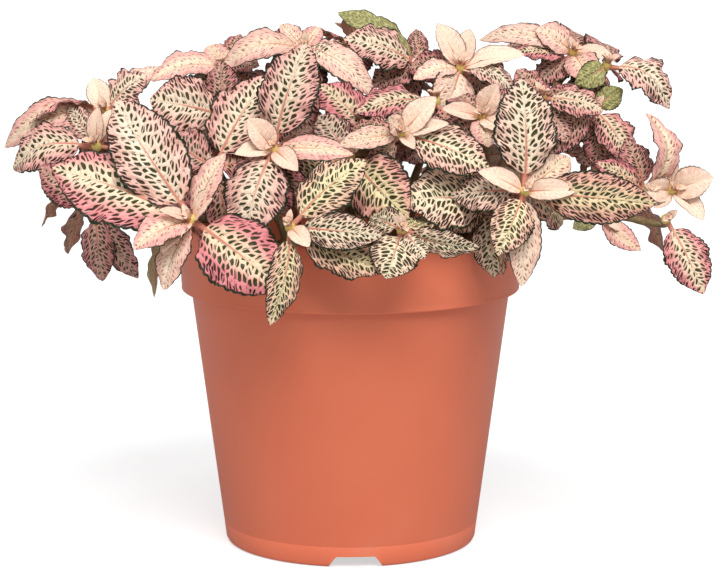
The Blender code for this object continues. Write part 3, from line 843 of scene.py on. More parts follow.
class Habit:
    """How the plant grows: its shoots and stems, settled so that none runs into another."""

    def __init__(self, pot: "GrowerPot", soil: "SoilBed") -> None:
        """Draws up the near and far shoots, then settles the stems and the leaves."""
        self.shoots = {
            name: Shoot(
                name, Vector(at), Vector(face).normalized(), [Leaf(*leaf) for leaf in leaves]
            )
            for name, (at, face, leaves) in SHOOTS.items()
        }
        for name, (at, count) in FAR_SHOOTS.items():
            self.shoots[name] = self.far_shoot(name, Vector(at), count)
        self.stems = [Stem(k + 1, foot, chain) for k, (foot, chain) in enumerate(STEMS)]
        placed = Placed()
        placed.add("pot", solid_of(turned(pot.outline(), SETTLING_SIDES)))
        placed.add("soil", solid_of(turned(soil.outline(), SETTLING_SIDES)))
        for shoot in self.shoots.values():
            placed.add(shoot.name, shoot.hub(HUB_CLEARANCE))
        self.settle_stems(placed)
        self.settle_leaves(placed)
        self.settle_lower(placed)

    @staticmethod
    def far_shoot(name: str, at: Vector, count: int) -> Shoot:
        """A shoot of the far side, with its leaves in crossed pairs, the outer ones longest.

        Args:
            name: The shoot's name, which also seeds its small differences.
            at: Its growing point.
            count: How many leaves it has.

        Returns:
            The shoot.
        """
        dice = random.Random(name)
        out = (at - HEART).normalized()
        axis = (out + UP * 0.25).normalized()
        side = axis.cross(UP).normalized()
        up = side.cross(axis).normalized()
        start = dice.uniform(0, math.pi)
        leaves = []
        for k in range(count):
            pair = k // 2
            length, rise, slimness, age = FAR_PAIRS[min(pair, len(FAR_PAIRS) - 1)]
            turn = start + math.pi * (k % 2) + math.pi / 2 * (pair % 2) + pair * 0.4
            turn += dice.uniform(-0.2, 0.2)
            length *= dice.uniform(0.88, 1.08)
            rise += dice.uniform(-0.1, 0.1)
            way = (side * math.cos(turn) + up * math.sin(turn)) * math.cos(rise)
            way += axis * math.sin(rise)
            reach = way * length
            reach.z -= length * 0.10
            arch = dice.uniform(0.08, 0.2)
            leaves.append(Leaf(*reach, length * slimness, arch, dice.uniform(-12, 12), age))
        return Shoot(name, at, axis, leaves)

    @staticmethod
    def lower_leaves(shoot: Shoot) -> list[Leaf]:
        """Older leaves from the joint below a shoot, which turn back into the plant.

        Each points from the plant's front or back towards its middle, and not far outwards. Shoots
        that hang low or stand far out have none.

        Args:
            shoot: The shoot, with its own leaves settled.

        Returns:
            The leaves as drawn.
        """
        away = Vector((shoot.at.x, shoot.at.y, 0))
        if shoot.at.z < LOWER_FROM or away.length > LOWER_OUT:
            return []
        dice = random.Random("lower " + shoot.name)
        side = shoot.axis.cross(UP).normalized()
        up = side.cross(shoot.axis).normalized()
        leaves = []
        for k in range(LOWER_LEAVES):
            turn = math.pi * (2 * k + 1) / LOWER_LEAVES + dice.uniform(-0.3, 0.3)
            back = dice.uniform(0.35, 0.8)
            way = (side * math.cos(turn) + up * math.sin(turn)) * math.cos(back)
            way -= shoot.axis * math.sin(back)
            reach = way * dice.uniform(*LOWER_LENGTH)
            reach.z = min(reach.z, LOWER_RISE)
            width = reach.length * 0.55
            roll = dice.uniform(-15, 15)
            if reach.dot(away) < away.length * LOWER_OUTWARD and reach.y * shoot.at.y < 0:
                leaves.append(Leaf(*reach, width, 0.12, roll, OLD))
        return leaves

    def settle_stems(self, placed: Placed) -> None:
        """Gives each stem the first route that is clear."""
        for stem in self.stems:
            for route in stem.ways(self.shoots):
                fat = tube(smooth_path(route, stem.steps), STEM_RADIUS + STEM_CLEARANCE)
                if placed.clear(stem.node, fat):
                    break
            placed.add(stem.node, fat)
            stem.route = route

    def settle_leaves(self, placed: Placed) -> None:
        """Puts each leaf where it touches only its own shoot, the largest near ones first."""
        order = []
        for shoot in self.shoots.values():
            for k, leaf in enumerate(shoot.leaves):
                order.append((shoot.at.y > 0, -leaf.width, shoot.name, k))
        order.sort(key=lambda row: (row[0], row[1]))
        settled: dict[str, dict[int, Leaf]] = {name: {} for name in self.shoots}
        for _, _, name, k in order:
            shoot = self.shoots[name]
            for leaf in shoot.leaves[k].variants():
                solid = leaf.solid(shoot.axis, shoot.at, CLEARANCE, LEAF_FROM)
                if placed.clear(name, solid):
                    settled[name][k] = leaf
                    placed.add(name, solid)
                    break
        for name, found in settled.items():
            self.shoots[name].leaves = [found[k] for k in sorted(found)]

    def settle_lower(self, placed: Placed) -> None:
        """Adds the lower leaves where there is room between everything else.

        Past its stalk such a leaf also stays clear of its own shoot.
        """
        for shoot in self.shoots.values():
            for drawn in self.lower_leaves(shoot):
                least = drawn.reach.length * LEAST_LOWER
                for leaf in drawn.variants():
                    if leaf.reach.length < least:
                        break
                    solid = leaf.solid(shoot.axis, shoot.at, CLEARANCE, LEAF_FROM)
                    blade = leaf.solid(shoot.axis, shoot.at, CLEARANCE, BLADE_FROM)
                    if placed.clear(shoot.name, solid) and placed.clear("", blade):
                        shoot.leaves.append(leaf)
                        placed.add(shoot.name, solid)
                        break


# Finishes

Colour = tuple[float, float, float, float]
Socket = bpy.types.NodeSocket
Drawn = tuple[Socket, Socket, Socket]

LEAF_MAP = "leaf_map"
# The last attribute makes a shoot's veins pinker and darker: partly a real pink tint, partly
# painted shade.
ATTRIBUTES = ("leaf_age", "leaf_seed", "leaf_reach", "leaf_length", "leaf_blush")


class Paint(IntEnum):
    """The materials of a shoot, in the order of its material slots."""

    UPPER = 0
    UNDER = 1
    FLESH = 2


def linear(value: float) -> float:
    """One display value from 0 to 1, made linear."""
    return value / 12.92 if value <= 0.04045 else ((value + 0.055) / 1.055) ** 2.4


def shade(red: int, green: int, blue: int) -> Colour:
    """A colour given as display values from 0 to 255, made linear."""
    return (linear(red / 255), linear(green / 255), linear(blue / 255), 1.0)


class Sheet:
    """A node tree that is drawn up one node at a time, from left to right."""

    SPACING = 190

    def __init__(self, tree: bpy.types.NodeTree) -> None:
        """Takes the tree that nodes are added to."""
        self.tree = tree

    def node(self, kind: str, inputs: dict | None = None, **settings: object) -> bpy.types.Node:
        """Adds a node.

        Args:
            kind: The node's type, without the ShaderNode in front.
            inputs: Its inputs by name or number: a socket to link, or a value.
            settings: Its own settings.

        Returns:
            The node.
        """
        made = self.tree.nodes.new("ShaderNode" + kind)
        made.location = (len(self.tree.nodes) * self.SPACING, 0)
        for key, value in settings.items():
            setattr(made, key, value)
        for key, value in (inputs or {}).items():
            if isinstance(value, Socket):
                self.tree.links.new(value, made.inputs[key])
            else:
                made.inputs[key].default_value = value
        return made

    def sum(self, operation: str, *values: object, clamp: bool = False) -> Socket:
        """One step of arithmetic: ADD, SUBTRACT, ABSOLUTE, FRACT and so on."""
        made = self.node("Math", dict(enumerate(values)), operation=operation, use_clamp=clamp)
        return made.outputs[0]

    def times(self, one: object, two: object) -> Socket:
        """A product."""
        return self.sum("MULTIPLY", one, two)

    def line(self, value: object, slope: object, start: object, clamp: bool = False) -> Socket:
        """A value times a slope, plus a start."""
        return self.sum("MULTIPLY_ADD", value, slope, start, clamp=clamp)

    def ramp(self, value: object, low: object, high: object) -> Socket:
        """Rises smoothly from 0 at low to 1 at high."""
        inputs = {"Value": value, "From Min": low, "From Max": high}
        return self.node("MapRange", inputs, interpolation_type="SMOOTHSTEP").outputs[0]

    def mix(self, share: object, one: object, two: object) -> Socket:
        """Blends two colours."""
        return self.node("Mix", {0: share, 6: one, 7: two}, data_type="RGBA").outputs[2]

    def noise(self, where: object, scale: object, detail: float = 3.0) -> Socket:
        """Soft noise from 0 to 1."""
        inputs = {"Vector": where, "Scale": scale, "Detail": detail}
        return self.node("TexNoise", inputs).outputs[0]

    def attribute(self, name: str) -> Socket:
        """A number that the mesh carries."""
        return self.node("Attribute", attribute_name=name).outputs["Fac"]

    def cells(self, down: Socket, out: Socket) -> Socket:
        """How deep a place is inside its cell, for cells with rounded corners.

        Args:
            down: The place along the leaf, with one cell to a unit.
            out: The place across it.

        Returns:
            The distance from the nearest other cell, and less of it far from the cell's middle.
        """
        where = self.node("CombineXYZ", {0: down, 1: out}).outputs[0]
        inputs = {"Vector": where, "Scale": 1.0, "Randomness": 0.8}
        edge, middle = (
            self.node("TexVoronoi", inputs, feature=kind, voronoi_dimensions="2D")
            for kind in ("DISTANCE_TO_EDGE", "F1")
        )
        rounded = self.line(middle.outputs["Distance"], -0.8, 0.56)
        return self.sum("MINIMUM", edge.outputs["Distance"], rounded)


class Group(Sheet):
    """A shader node group, drawn up on a sheet of its own."""

    def __init__(self, name: str, inputs: dict, outputs: tuple[str, ...]) -> None:
        """Starts the group.

        Args:
            name: The group's name.
            inputs: Its inputs by name: a number, or None for a vector.
            outputs: The names of the numbers that it gives out.
        """
        super().__init__(bpy.data.node_groups.new(name, "ShaderNodeTree"))
        new_socket = self.tree.interface.new_socket
        for key, value in inputs.items():
            kind = "NodeSocketVector" if value is None else "NodeSocketFloat"
            socket = new_socket(name=key, in_out="INPUT", socket_type=kind)
            if value is not None:
                socket.default_value = value
        for key in outputs:
            new_socket(name=key, in_out="OUTPUT", socket_type="NodeSocketFloat")
        start = self.tree.nodes.new("NodeGroupInput")
        self.given = {key: start.outputs[key] for key in inputs}
        self.end = self.tree.nodes.new("NodeGroupOutput")

    def give(self, **results: Socket) -> None:
        """Links results to the group's outputs, by name."""
        for key, socket in results.items():
            self.tree.links.new(socket, self.end.inputs[key])


class Mottle(Group):
    """Broad patches, fine grain and specks from 0 to 1, which every finish here uses."""

    def __init__(self) -> None:
        """Draws the group."""
        inputs = {"Where": None, "Patch Scale": 60.0, "Grain Scale": 900.0}
        super().__init__("mottle", inputs, ("Patches", "Grain", "Specks"))
        where, patch, grain = self.given.values()
        cells = self.node("TexVoronoi", {"Vector": where, "Scale": grain}).outputs["Distance"]
        self.give(
            Patches=self.ramp(self.noise(where, patch), 0.3, 0.7),
            Grain=self.noise(where, grain, 2.0),
            Specks=self.ramp(cells, 0.22, 0.08),
        )


class NerveNet(Group):
    """The net of veins over a leaf, drawn in the leaf's own map.

    Veins leave the midrib in pairs and bend towards the tip. Between them lie long cells, which get
    narrower towards the margin.
    """

    INPUTS = {
        "Map": None,
        "Reach": 0.5,
        "Seed": 0.0,
        "Vein Width": 0.15,
        "Cells Along": 17.0,
        "Cells Across": 4.0,
    }
    OUTPUTS = ("Cells", "Midrib", "Outward", "Along", "Height")
    VEIN_PAIRS = 7.5
    SOFT_EDGE = 0.085

    def __init__(self) -> None:
        """Draws the group."""
        super().__init__("nerve net", self.INPUTS, self.OUTPUTS)
        reach = self.given["Reach"]
        parts = self.node("SeparateXYZ", {0: self.given["Map"]})
        signed = self.line(parts.outputs[0], 2.0, -1.0)
        outward = self.sum("ABSOLUTE", signed)
        along = parts.outputs[1]
        vein = self.vein_place(along, reach)
        gap = self.gap(vein, reach, self.times(self.sum("SIGN", signed), 3.7), outward)
        near_rib = self.ramp(reach, 0.22, 0.02)
        width = self.sum("ADD", self.given["Vein Width"], self.times(near_rib, 0.04))
        cells = self.ramp(gap, width, self.sum("ADD", width, self.SOFT_EDGE))
        thin = self.line(along, -0.038, 0.050)
        midrib = self.ramp(reach, self.times(thin, 1.5), self.times(thin, 0.6))
        veins = self.sum("MAXIMUM", self.side_veins(vein, outward), midrib)
        self.give(
            Cells=self.times(cells, self.sum("SUBTRACT", 1.0, veins)),
            Midrib=midrib,
            Outward=outward,
            Along=along,
            Height=self.sum("SUBTRACT", self.times(gap, 1.4), self.times(veins, 0.6)),
        )

    def vein_place(self, along: Socket, reach: Socket) -> Socket:
        """Where on the midrib the vein through a place starts, as a share of the length."""
        lean = self.times(reach, self.line(reach, 0.08, 0.20))
        inputs = {"Vector": self.given["Map"], "Scale": 7.0, "Detail": 2.0, "W": self.given["Seed"]}
        wander = self.node("TexNoise", inputs, noise_dimensions="4D").outputs[0]
        return self.sum("ADD", self.sum("SUBTRACT", along, lean), self.line(wander, 0.05, -0.025))

    def gap(self, vein: Socket, reach: Socket, flank: Socket, outward: Socket) -> Socket:
        """How far a place is from the net: coarse cells inside, finer ones near the margin.

        Args:
            vein: Where its vein starts.
            reach: How far it is from the midrib.
            flank: A different number on each side of the midrib.
            outward: How near it is to the margin.

        Returns:
            The distance, in cells.
        """
        shift = self.times(self.given["Seed"], 61.0)
        down = self.sum("ADD", self.times(vein, self.given["Cells Along"]), shift)
        out = self.sum("ADD", self.times(reach, self.given["Cells Across"]), flank)
        coarse = self.cells(down, out)
        fine = self.cells(self.times(down, 1.45), self.line(out, 0.75, 5.3))
        edging = self.ramp(outward, 0.58, 0.84)
        inner = self.times(coarse, self.sum("SUBTRACT", 1.0, edging))
        return self.sum("ADD", inner, self.times(fine, edging))

    def side_veins(self, vein: Socket, outward: Socket) -> Socket:
        """The main veins from the midrib, which thin out towards the margin."""
        pairs = self.sum("FRACT", self.times(vein, self.VEIN_PAIRS))
        off_vein = self.sum("ABSOLUTE", self.sum("SUBTRACT", pairs, 0.5))
        width = self.line(outward, -0.07, 0.07)
        return self.ramp(off_vein, width, self.times(width, 0.35))


@dataclass(frozen=True)
class Finish:
    """What every finish here has: a name, a gloss and a relief over a fine mottle.

    Attributes:
        name: The material's name.
        roughness: The middle of its roughness.
        relief: The strength of its bump.
        depth: The bump's depth in metres.
        shine: The Principled shader's specular level.
        patches: How many of the mottle's patches lie along a metre, roughly.
        grains: The same for its grain.
    """

    name: str
    roughness: float
    relief: float
    depth: float
    shine: float
    patches: float = 60.0
    grains: float = 900.0

    def draw(self, sheet: Sheet, mottle: bpy.types.Node) -> Drawn:
        """Draws the finish's nodes and returns its colour, roughness and height."""
        raise NotImplementedError

    def make(self, mottle: Mottle) -> bpy.types.Material:
        """The material."""
        made = bpy.data.materials.new(self.name)
        made.use_nodes = True
        sheet = Sheet(made.node_tree)
        shader = made.node_tree.nodes["Principled BSDF"]
        shader.inputs["Specular IOR Level"].default_value = self.shine
        where = sheet.node("TexCoord").outputs["Object"]
        scales = {"Where": where, "Patch Scale": self.patches, "Grain Scale": self.grains}
        colour, rough, height = self.draw(sheet, sheet.node("Group", scales, node_tree=mottle.tree))
        relief = {"Strength": self.relief, "Distance": self.depth, "Height": height}
        bump = sheet.node("Bump", relief).outputs[0]
        for key, socket in {"Base Color": colour, "Roughness": rough, "Normal": bump}.items():
            sheet.tree.links.new(socket, shader.inputs[key])
        return made


@dataclass(frozen=True)
class TerracottaPlastic(Finish):
    """Satin moulded plastic in a terracotta colour, a little dusty towards the foot."""

    patches: float = 22.0
    grains: float = 1500.0
    light: Colour = shade(227, 118, 84)
    deep: Colour = shade(221, 113, 80)
    dust: Colour = shade(214, 146, 124)
    dusty_height: float = 0.02

    def draw(self, sheet: Sheet, mottle: bpy.types.Node) -> Drawn:
        """Draws faint patches and smears of dust."""
        patches = mottle.outputs["Patches"]
        where = mottle.inputs["Where"].links[0].from_socket
        height = sheet.node("SeparateXYZ", {0: where}).outputs[2]
        low = sheet.ramp(height, self.dusty_height, 0.0)
        smear = sheet.ramp(sheet.noise(where, 45.0, 5.0), 0.5, 0.75)
        dusty = sheet.times(smear, sheet.line(low, 0.3, 0.04))
        colour = sheet.mix(dusty, sheet.mix(patches, self.deep, self.light), self.dust)
        rough = sheet.line(dusty, 0.4, sheet.line(patches, 0.10, self.roughness - 0.05))
        return colour, rough, mottle.outputs["Grain"]


@dataclass(frozen=True)
class PottingSoil(Finish):
    """Dark damp peat with paler fibres and grit."""

    patches: float = 260.0
    grains: float = 800.0
    dark: Colour = shade(34, 25, 20)
    pale: Colour = shade(84, 62, 46)
    grit: Colour = shade(150, 130, 108)

    def draw(self, sheet: Sheet, mottle: bpy.types.Node) -> Drawn:
        """Draws dark and paler patches with specks of grit."""
        patches = mottle.outputs["Patches"]
        specks = sheet.times(mottle.outputs["Specks"], 0.25)
        colour = sheet.mix(specks, sheet.mix(patches, self.dark, self.pale), self.grit)
        return colour, sheet.line(patches, 0.12, self.roughness - 0.1), mottle.outputs["Grain"]


@dataclass(frozen=True)
class SoftStem(Finish):
    """The skin of a young stem: reddish brown, greener in places, with short pale streaks."""

    patches: float = 55.0
    grains: float = 1400.0
    red: Colour = shade(140, 84, 66)
    green: Colour = shade(112, 98, 58)
    pale: Colour = shade(190, 140, 112)

    def draw(self, sheet: Sheet, mottle: bpy.types.Node) -> Drawn:
        """Draws red and green patches with pale streaks."""
        streak = sheet.times(sheet.ramp(mottle.outputs["Grain"], 0.48, 0.72), 0.5)
        colour = sheet.mix(mottle.outputs["Patches"], self.red, self.green)
        colour = sheet.mix(streak, colour, self.pale)
        return colour, sheet.line(streak, 0.2, self.roughness), mottle.outputs["Grain"]


@dataclass(frozen=True)
class LeafFlesh(Finish):
    """Stalks and growing points: salmon where they are older, yellow where they are new."""

    patches: float = 200.0
    grains: float = 1800.0
    new: Colour = shade(226, 206, 118)
    old: Colour = shade(214, 146, 122)
    blush: Colour = shade(196, 108, 92)

    def draw(self, sheet: Sheet, mottle: bpy.types.Node) -> Drawn:
        """Draws the change with age and a blush on the older part."""
        patches = mottle.outputs["Patches"]
        age = sheet.ramp(sheet.attribute("leaf_age"), 0.15, 0.55)
        blush = sheet.times(patches, sheet.times(age, 0.6))
        colour = sheet.mix(blush, sheet.mix(age, self.new, self.old), self.blush)
        return colour, sheet.line(patches, 0.12, self.roughness - 0.06), mottle.outputs["Grain"]


@dataclass(frozen=True)
class NerveLeaf(Finish):
    """A leaf's face: dark cells in a net of cream and pink veins, with a dark margin.

    Young leaves are peach with small specks, and the net grows with age.

    Attributes:
        net: The net of veins.
        cover: How much of the pattern shows through the veil of a leaf's underside.
        cream: Veins near the midrib; on some leaves they are lime.
        pink: Veins near the margin; rose on some leaves, and dusk, a painted shade, on old far-off
            ones.
        salmon: The midrib's lower end.
        peach: A young leaf, and blot its specks.
        olive: Dark cells; towards the margin they are maroon.
        ghost: A leaf that shows a pale green back.
        margin: The thin dark edge.
        veil: The paler skin of an underside.
    """

    patches: float = 160.0
    grains: float = 2200.0
    net: NerveNet | None = None
    cover: float = 1.0
    cream: Colour = shade(250, 226, 200)
    lime: Colour = shade(240, 232, 160)
    pink: Colour = shade(240, 166, 160)
    rose: Colour = shade(226, 134, 138)
    shaded_dusk: Colour = shade(196, 122, 120)
    salmon: Colour = shade(222, 150, 130)
    peach: Colour = shade(255, 226, 200)
    blot: Colour = shade(190, 106, 94)
    ghost: Colour = shade(158, 158, 96)
    olive: Colour = shade(56, 56, 20)
    maroon: Colour = shade(62, 26, 24)
    margin: Colour = shade(34, 44, 24)
    veil: Colour = shade(184, 166, 142)

    def draw(self, sheet: Sheet, mottle: bpy.types.Node) -> Drawn:
        """Draws the net, colours its veins and cells, and adds the margin."""
        age, seed, reach, length, blush = (sheet.attribute(name) for name in ATTRIBUTES)
        grown = sheet.ramp(age, 0.0, 0.9)
        width = sheet.line(blush, 0.04, sheet.line(grown, -0.31, 0.41))
        patchy = sheet.line(mottle.outputs["Patches"], 0.07, -0.035)
        inputs = {
            "Map": sheet.node("UVMap", uv_map=LEAF_MAP).outputs[0],
            "Reach": reach,
            "Seed": seed,
            "Vein Width": sheet.sum("ADD", width, patchy),
            "Cells Along": sheet.line(length, 0.18, 10.5),
            "Cells Across": sheet.line(length, 0.07, 1.9),
        }
        net = sheet.node("Group", inputs, node_tree=self.net.tree).outputs
        outer = sheet.ramp(net["Outward"], 0.08, 0.72)
        pits = sheet.ramp(net["Height"], 0.08, 0.40)
        fresh = sheet.mix(sheet.times(pits, sheet.line(outer, 0.45, 0.1)), self.peach, self.pink)
        vein = sheet.mix(grown, fresh, self.vein(sheet, age, seed, blush, outer))
        cell = sheet.mix(sheet.ramp(net["Outward"], 0.35, 0.85), self.olive, self.maroon)
        cell = sheet.mix(sheet.ramp(age, 0.3, 0.8), self.blot, cell)
        colour = sheet.mix(net["Cells"], vein, cell)
        base = sheet.times(net["Midrib"], sheet.ramp(net["Along"], 0.45, 0.0))
        colour = sheet.mix(sheet.times(base, 0.7), colour, self.salmon)
        pale_back = sheet.times(sheet.ramp(blush, -0.2, -0.8), 0.7)
        colour = sheet.mix(pale_back, colour, self.ghost)
        rim = sheet.times(sheet.ramp(net["Outward"], 0.885, 0.945), sheet.ramp(age, -0.3, 0.25))
        colour = sheet.mix(rim, colour, self.margin)
        colour = sheet.mix(1.0 - self.cover, colour, self.veil)
        bright = sheet.line(sheet.sum("FRACT", sheet.times(seed, 3.1)), 0.16, 0.90)
        tone = sheet.node("HueSaturation", {"Value": bright, "Color": colour}).outputs[0]
        quilted = sheet.times(net["Height"], sheet.line(grown, 0.8, 0.2))
        raised = sheet.line(mottle.outputs["Grain"], 0.1, quilted)
        return tone, sheet.line(net["Cells"], -0.08, self.roughness), raised

    def vein(self, sheet: Sheet, age: Socket, seed: Socket, blush: Socket, outer: Socket) -> Socket:
        """The colour of a grown leaf's veins.

        Args:
            sheet: The sheet to draw on.
            age: The leaf's age, from 0 to 1.
            seed: Its own number, which picks its hue.
            blush: How pink and dark its shoot's veins are, partly a real pink tint and partly
                painted shade.
            outer: How near a place is to the margin.

        Returns:
            The colour.
        """
        hue = sheet.sum("FRACT", sheet.times(seed, 7.3))
        heart = sheet.mix(sheet.times(sheet.line(blush, -0.5, 0.85), hue), self.cream, self.lime)
        edge = sheet.mix(hue, self.pink, self.rose)
        # Pinker veins away from the palest spot: partly a real pink tint, partly painted shade.
        pinkness = sheet.times(outer, sheet.line(blush, 0.6, 0.35))
        pinkness = sheet.times(pinkness, sheet.line(hue, 0.45, 0.6))
        pinkness = sheet.line(sheet.times(hue, blush), 0.2, pinkness, clamp=True)
        # Painted shade: the oldest leaves far from the palest spot get darker, dusky veins.
        shaded_oldest = sheet.times(sheet.ramp(age, 0.88, 0.98), sheet.times(blush, 0.6))
        return sheet.mix(shaded_oldest, sheet.mix(pinkness, heart, edge), self.shaded_dusk)


# Mesh helpers


def turned(outline: list[tuple[float, float]], sides: int) -> bmesh.types.BMesh:
    """A solid of revolution about Z.

    Args:
        outline: A closed outline as (radius, height), which may touch the axis.
        sides: How many sides it gets.

    Returns:
        The solid, with its normals outwards.
    """
    bm = bmesh.new()
    verts = [bm.verts.new((radius, 0, height)) for radius, height in outline]
    pairs = zip(verts, verts[1:] + verts[:1])
    edges = [bm.edges.new(pair) for pair in pairs if pair[0].co.x + pair[1].co.x > 0]
    bmesh.ops.spin(
        bm,
        geom=verts + edges,
        axis=(0, 0, 1),
        cent=(0, 0, 0),
        angle=2 * math.pi,
        steps=sides,
        use_merge=True,
    )
    bmesh.ops.remove_doubles(bm, verts=bm.verts, dist=1e-4)
    bmesh.ops.recalc_face_normals(bm, faces=bm.faces)
    return bm


def solid_of(bm: bmesh.types.BMesh) -> Solid:
    """A bmesh as plain triangles; the bmesh is used up."""
    bmesh.ops.triangulate(bm, faces=bm.faces)
    bm.verts.index_update()
    points = [v.co.copy() for v in bm.verts]
    faces = [tuple(v.index for v in f.verts) for f in bm.faces]
    bm.free()
    return Solid(points, faces)


def soften(bm: bmesh.types.BMesh, width: float, least_turn: float, segments: int = 3) -> None:
    """Rounds every edge where the surface turns sharply.

    Args:
        bm: The mesh.
        width: The bevel's width.
        least_turn: The smallest turn that is rounded, in degrees.
        segments: How many faces make the round.
    """
    least = math.radians(least_turn)
    sharp = [e for e in bm.edges if len(e.link_faces) == 2 and e.calc_face_angle(0) > least]
    bmesh.ops.bevel(
        bm,
        geom=sharp,
        offset=width,
        segments=segments,
        affect="EDGES",
        profile=0.5,
        material=-1,
        clamp_overlap=True,
    )


def piece_from(
    name: str, bm: bmesh.types.BMesh, paints: list[bpy.types.Material], sharp: float = 40
) -> bpy.types.Object:
    """Turns a bmesh in millimetres into a smooth piece in metres; the bmesh is used up.

    Args:
        name: The piece's name.
        bm: Its mesh.
        paints: Its materials, in the order of the faces' material numbers.
        sharp: The angle in degrees past which an edge stays sharp.

    Returns:
        The piece, in the scene.
    """
    bmesh.ops.scale(bm, vec=(MM, MM, MM), verts=bm.verts)
    mesh = bpy.data.meshes.new(name)
    bm.to_mesh(mesh)
    bm.free()
    for paint in paints:
        mesh.materials.append(paint)
    mesh.shade_smooth()
    mesh.set_sharp_from_angle(angle=math.radians(sharp))
    piece = bpy.data.objects.new(name, mesh)
    bpy.context.scene.collection.objects.link(piece)
    return piece


def settle_modifiers(piece: bpy.types.Object) -> None:
    """Applies a piece's modifiers to its mesh."""
    deps = bpy.context.evaluated_depsgraph_get()
    mesh = bpy.data.meshes.new_from_object(piece.evaluated_get(deps), depsgraph=deps)
    piece.modifiers.clear()
    piece.data = mesh


def place(piece: bpy.types.Object, slot: str, *nodes: str) -> None:
    """Lets a piece ride with the pot and stand for the model's nodes, which it hides."""
    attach(piece, "root")
    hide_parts(*nodes)
    log.info("%s: %d faces, stands for %s", piece.name, len(piece.data.polygons), ", ".join(nodes))


def sweep(
    bm: bmesh.types.BMesh, path: list[Vector], radii: list[float], sides: int, paint: int
) -> list[bmesh.types.BMVert]:
    """Draws a round tube through a bmesh by extruding a circle along a path.

    Args:
        bm: The mesh that the tube is added to.
        path: The points of its middle.
        radii: Its radius at each of them.
        sides: How many sides it has.
        paint: Its faces' material number.

    Returns:
        The tube's points.
    """
    ahead = (path[1] - path[0]).normalized()
    side = ahead.orthogonal().normalized()
    start = bmesh.ops.create_circle(bm, cap_ends=True, segments=sides, radius=1.0)["verts"]
    ring = list(start)
    made = list(ring)
    faces = list({f for v in ring for f in v.link_faces})
    for i, at in enumerate(path):
        if i:
            edges = [e for e in {e for v in ring for e in v.link_edges} if e.is_boundary or i == 1]
            edges = [e for e in edges if all(v in ring for v in e.verts)]
            grown = bmesh.ops.extrude_edge_only(bm, edges=edges)["geom"]
            fresh = {v for v in grown if isinstance(v, bmesh.types.BMVert)}
            faces += [f for f in grown if isinstance(f, bmesh.types.BMFace)]
            outward = [next(e for e in v.link_edges if e.other_vert(v) in fresh) for v in ring]
            ring = [edge.other_vert(vert) for edge, vert in zip(outward, ring)]
            made += ring
        step = path[min(i + 1, len(path) - 1)] - path[max(i - 1, 0)]
        ahead = step.normalized()
        side = (side - ahead * side.dot(ahead)).normalized()
        other = ahead.cross(side)
        for k, vert in enumerate(ring):
            turn = 2 * math.pi * k / sides
            vert.co = at + (side * math.cos(turn) + other * math.sin(turn)) * radii[i]
    faces.append(bm.faces.new(ring))
    bmesh.ops.recalc_face_normals(bm, faces=faces)
    for face in faces:
        face.material_index = paint
    return made


# Pot and soil


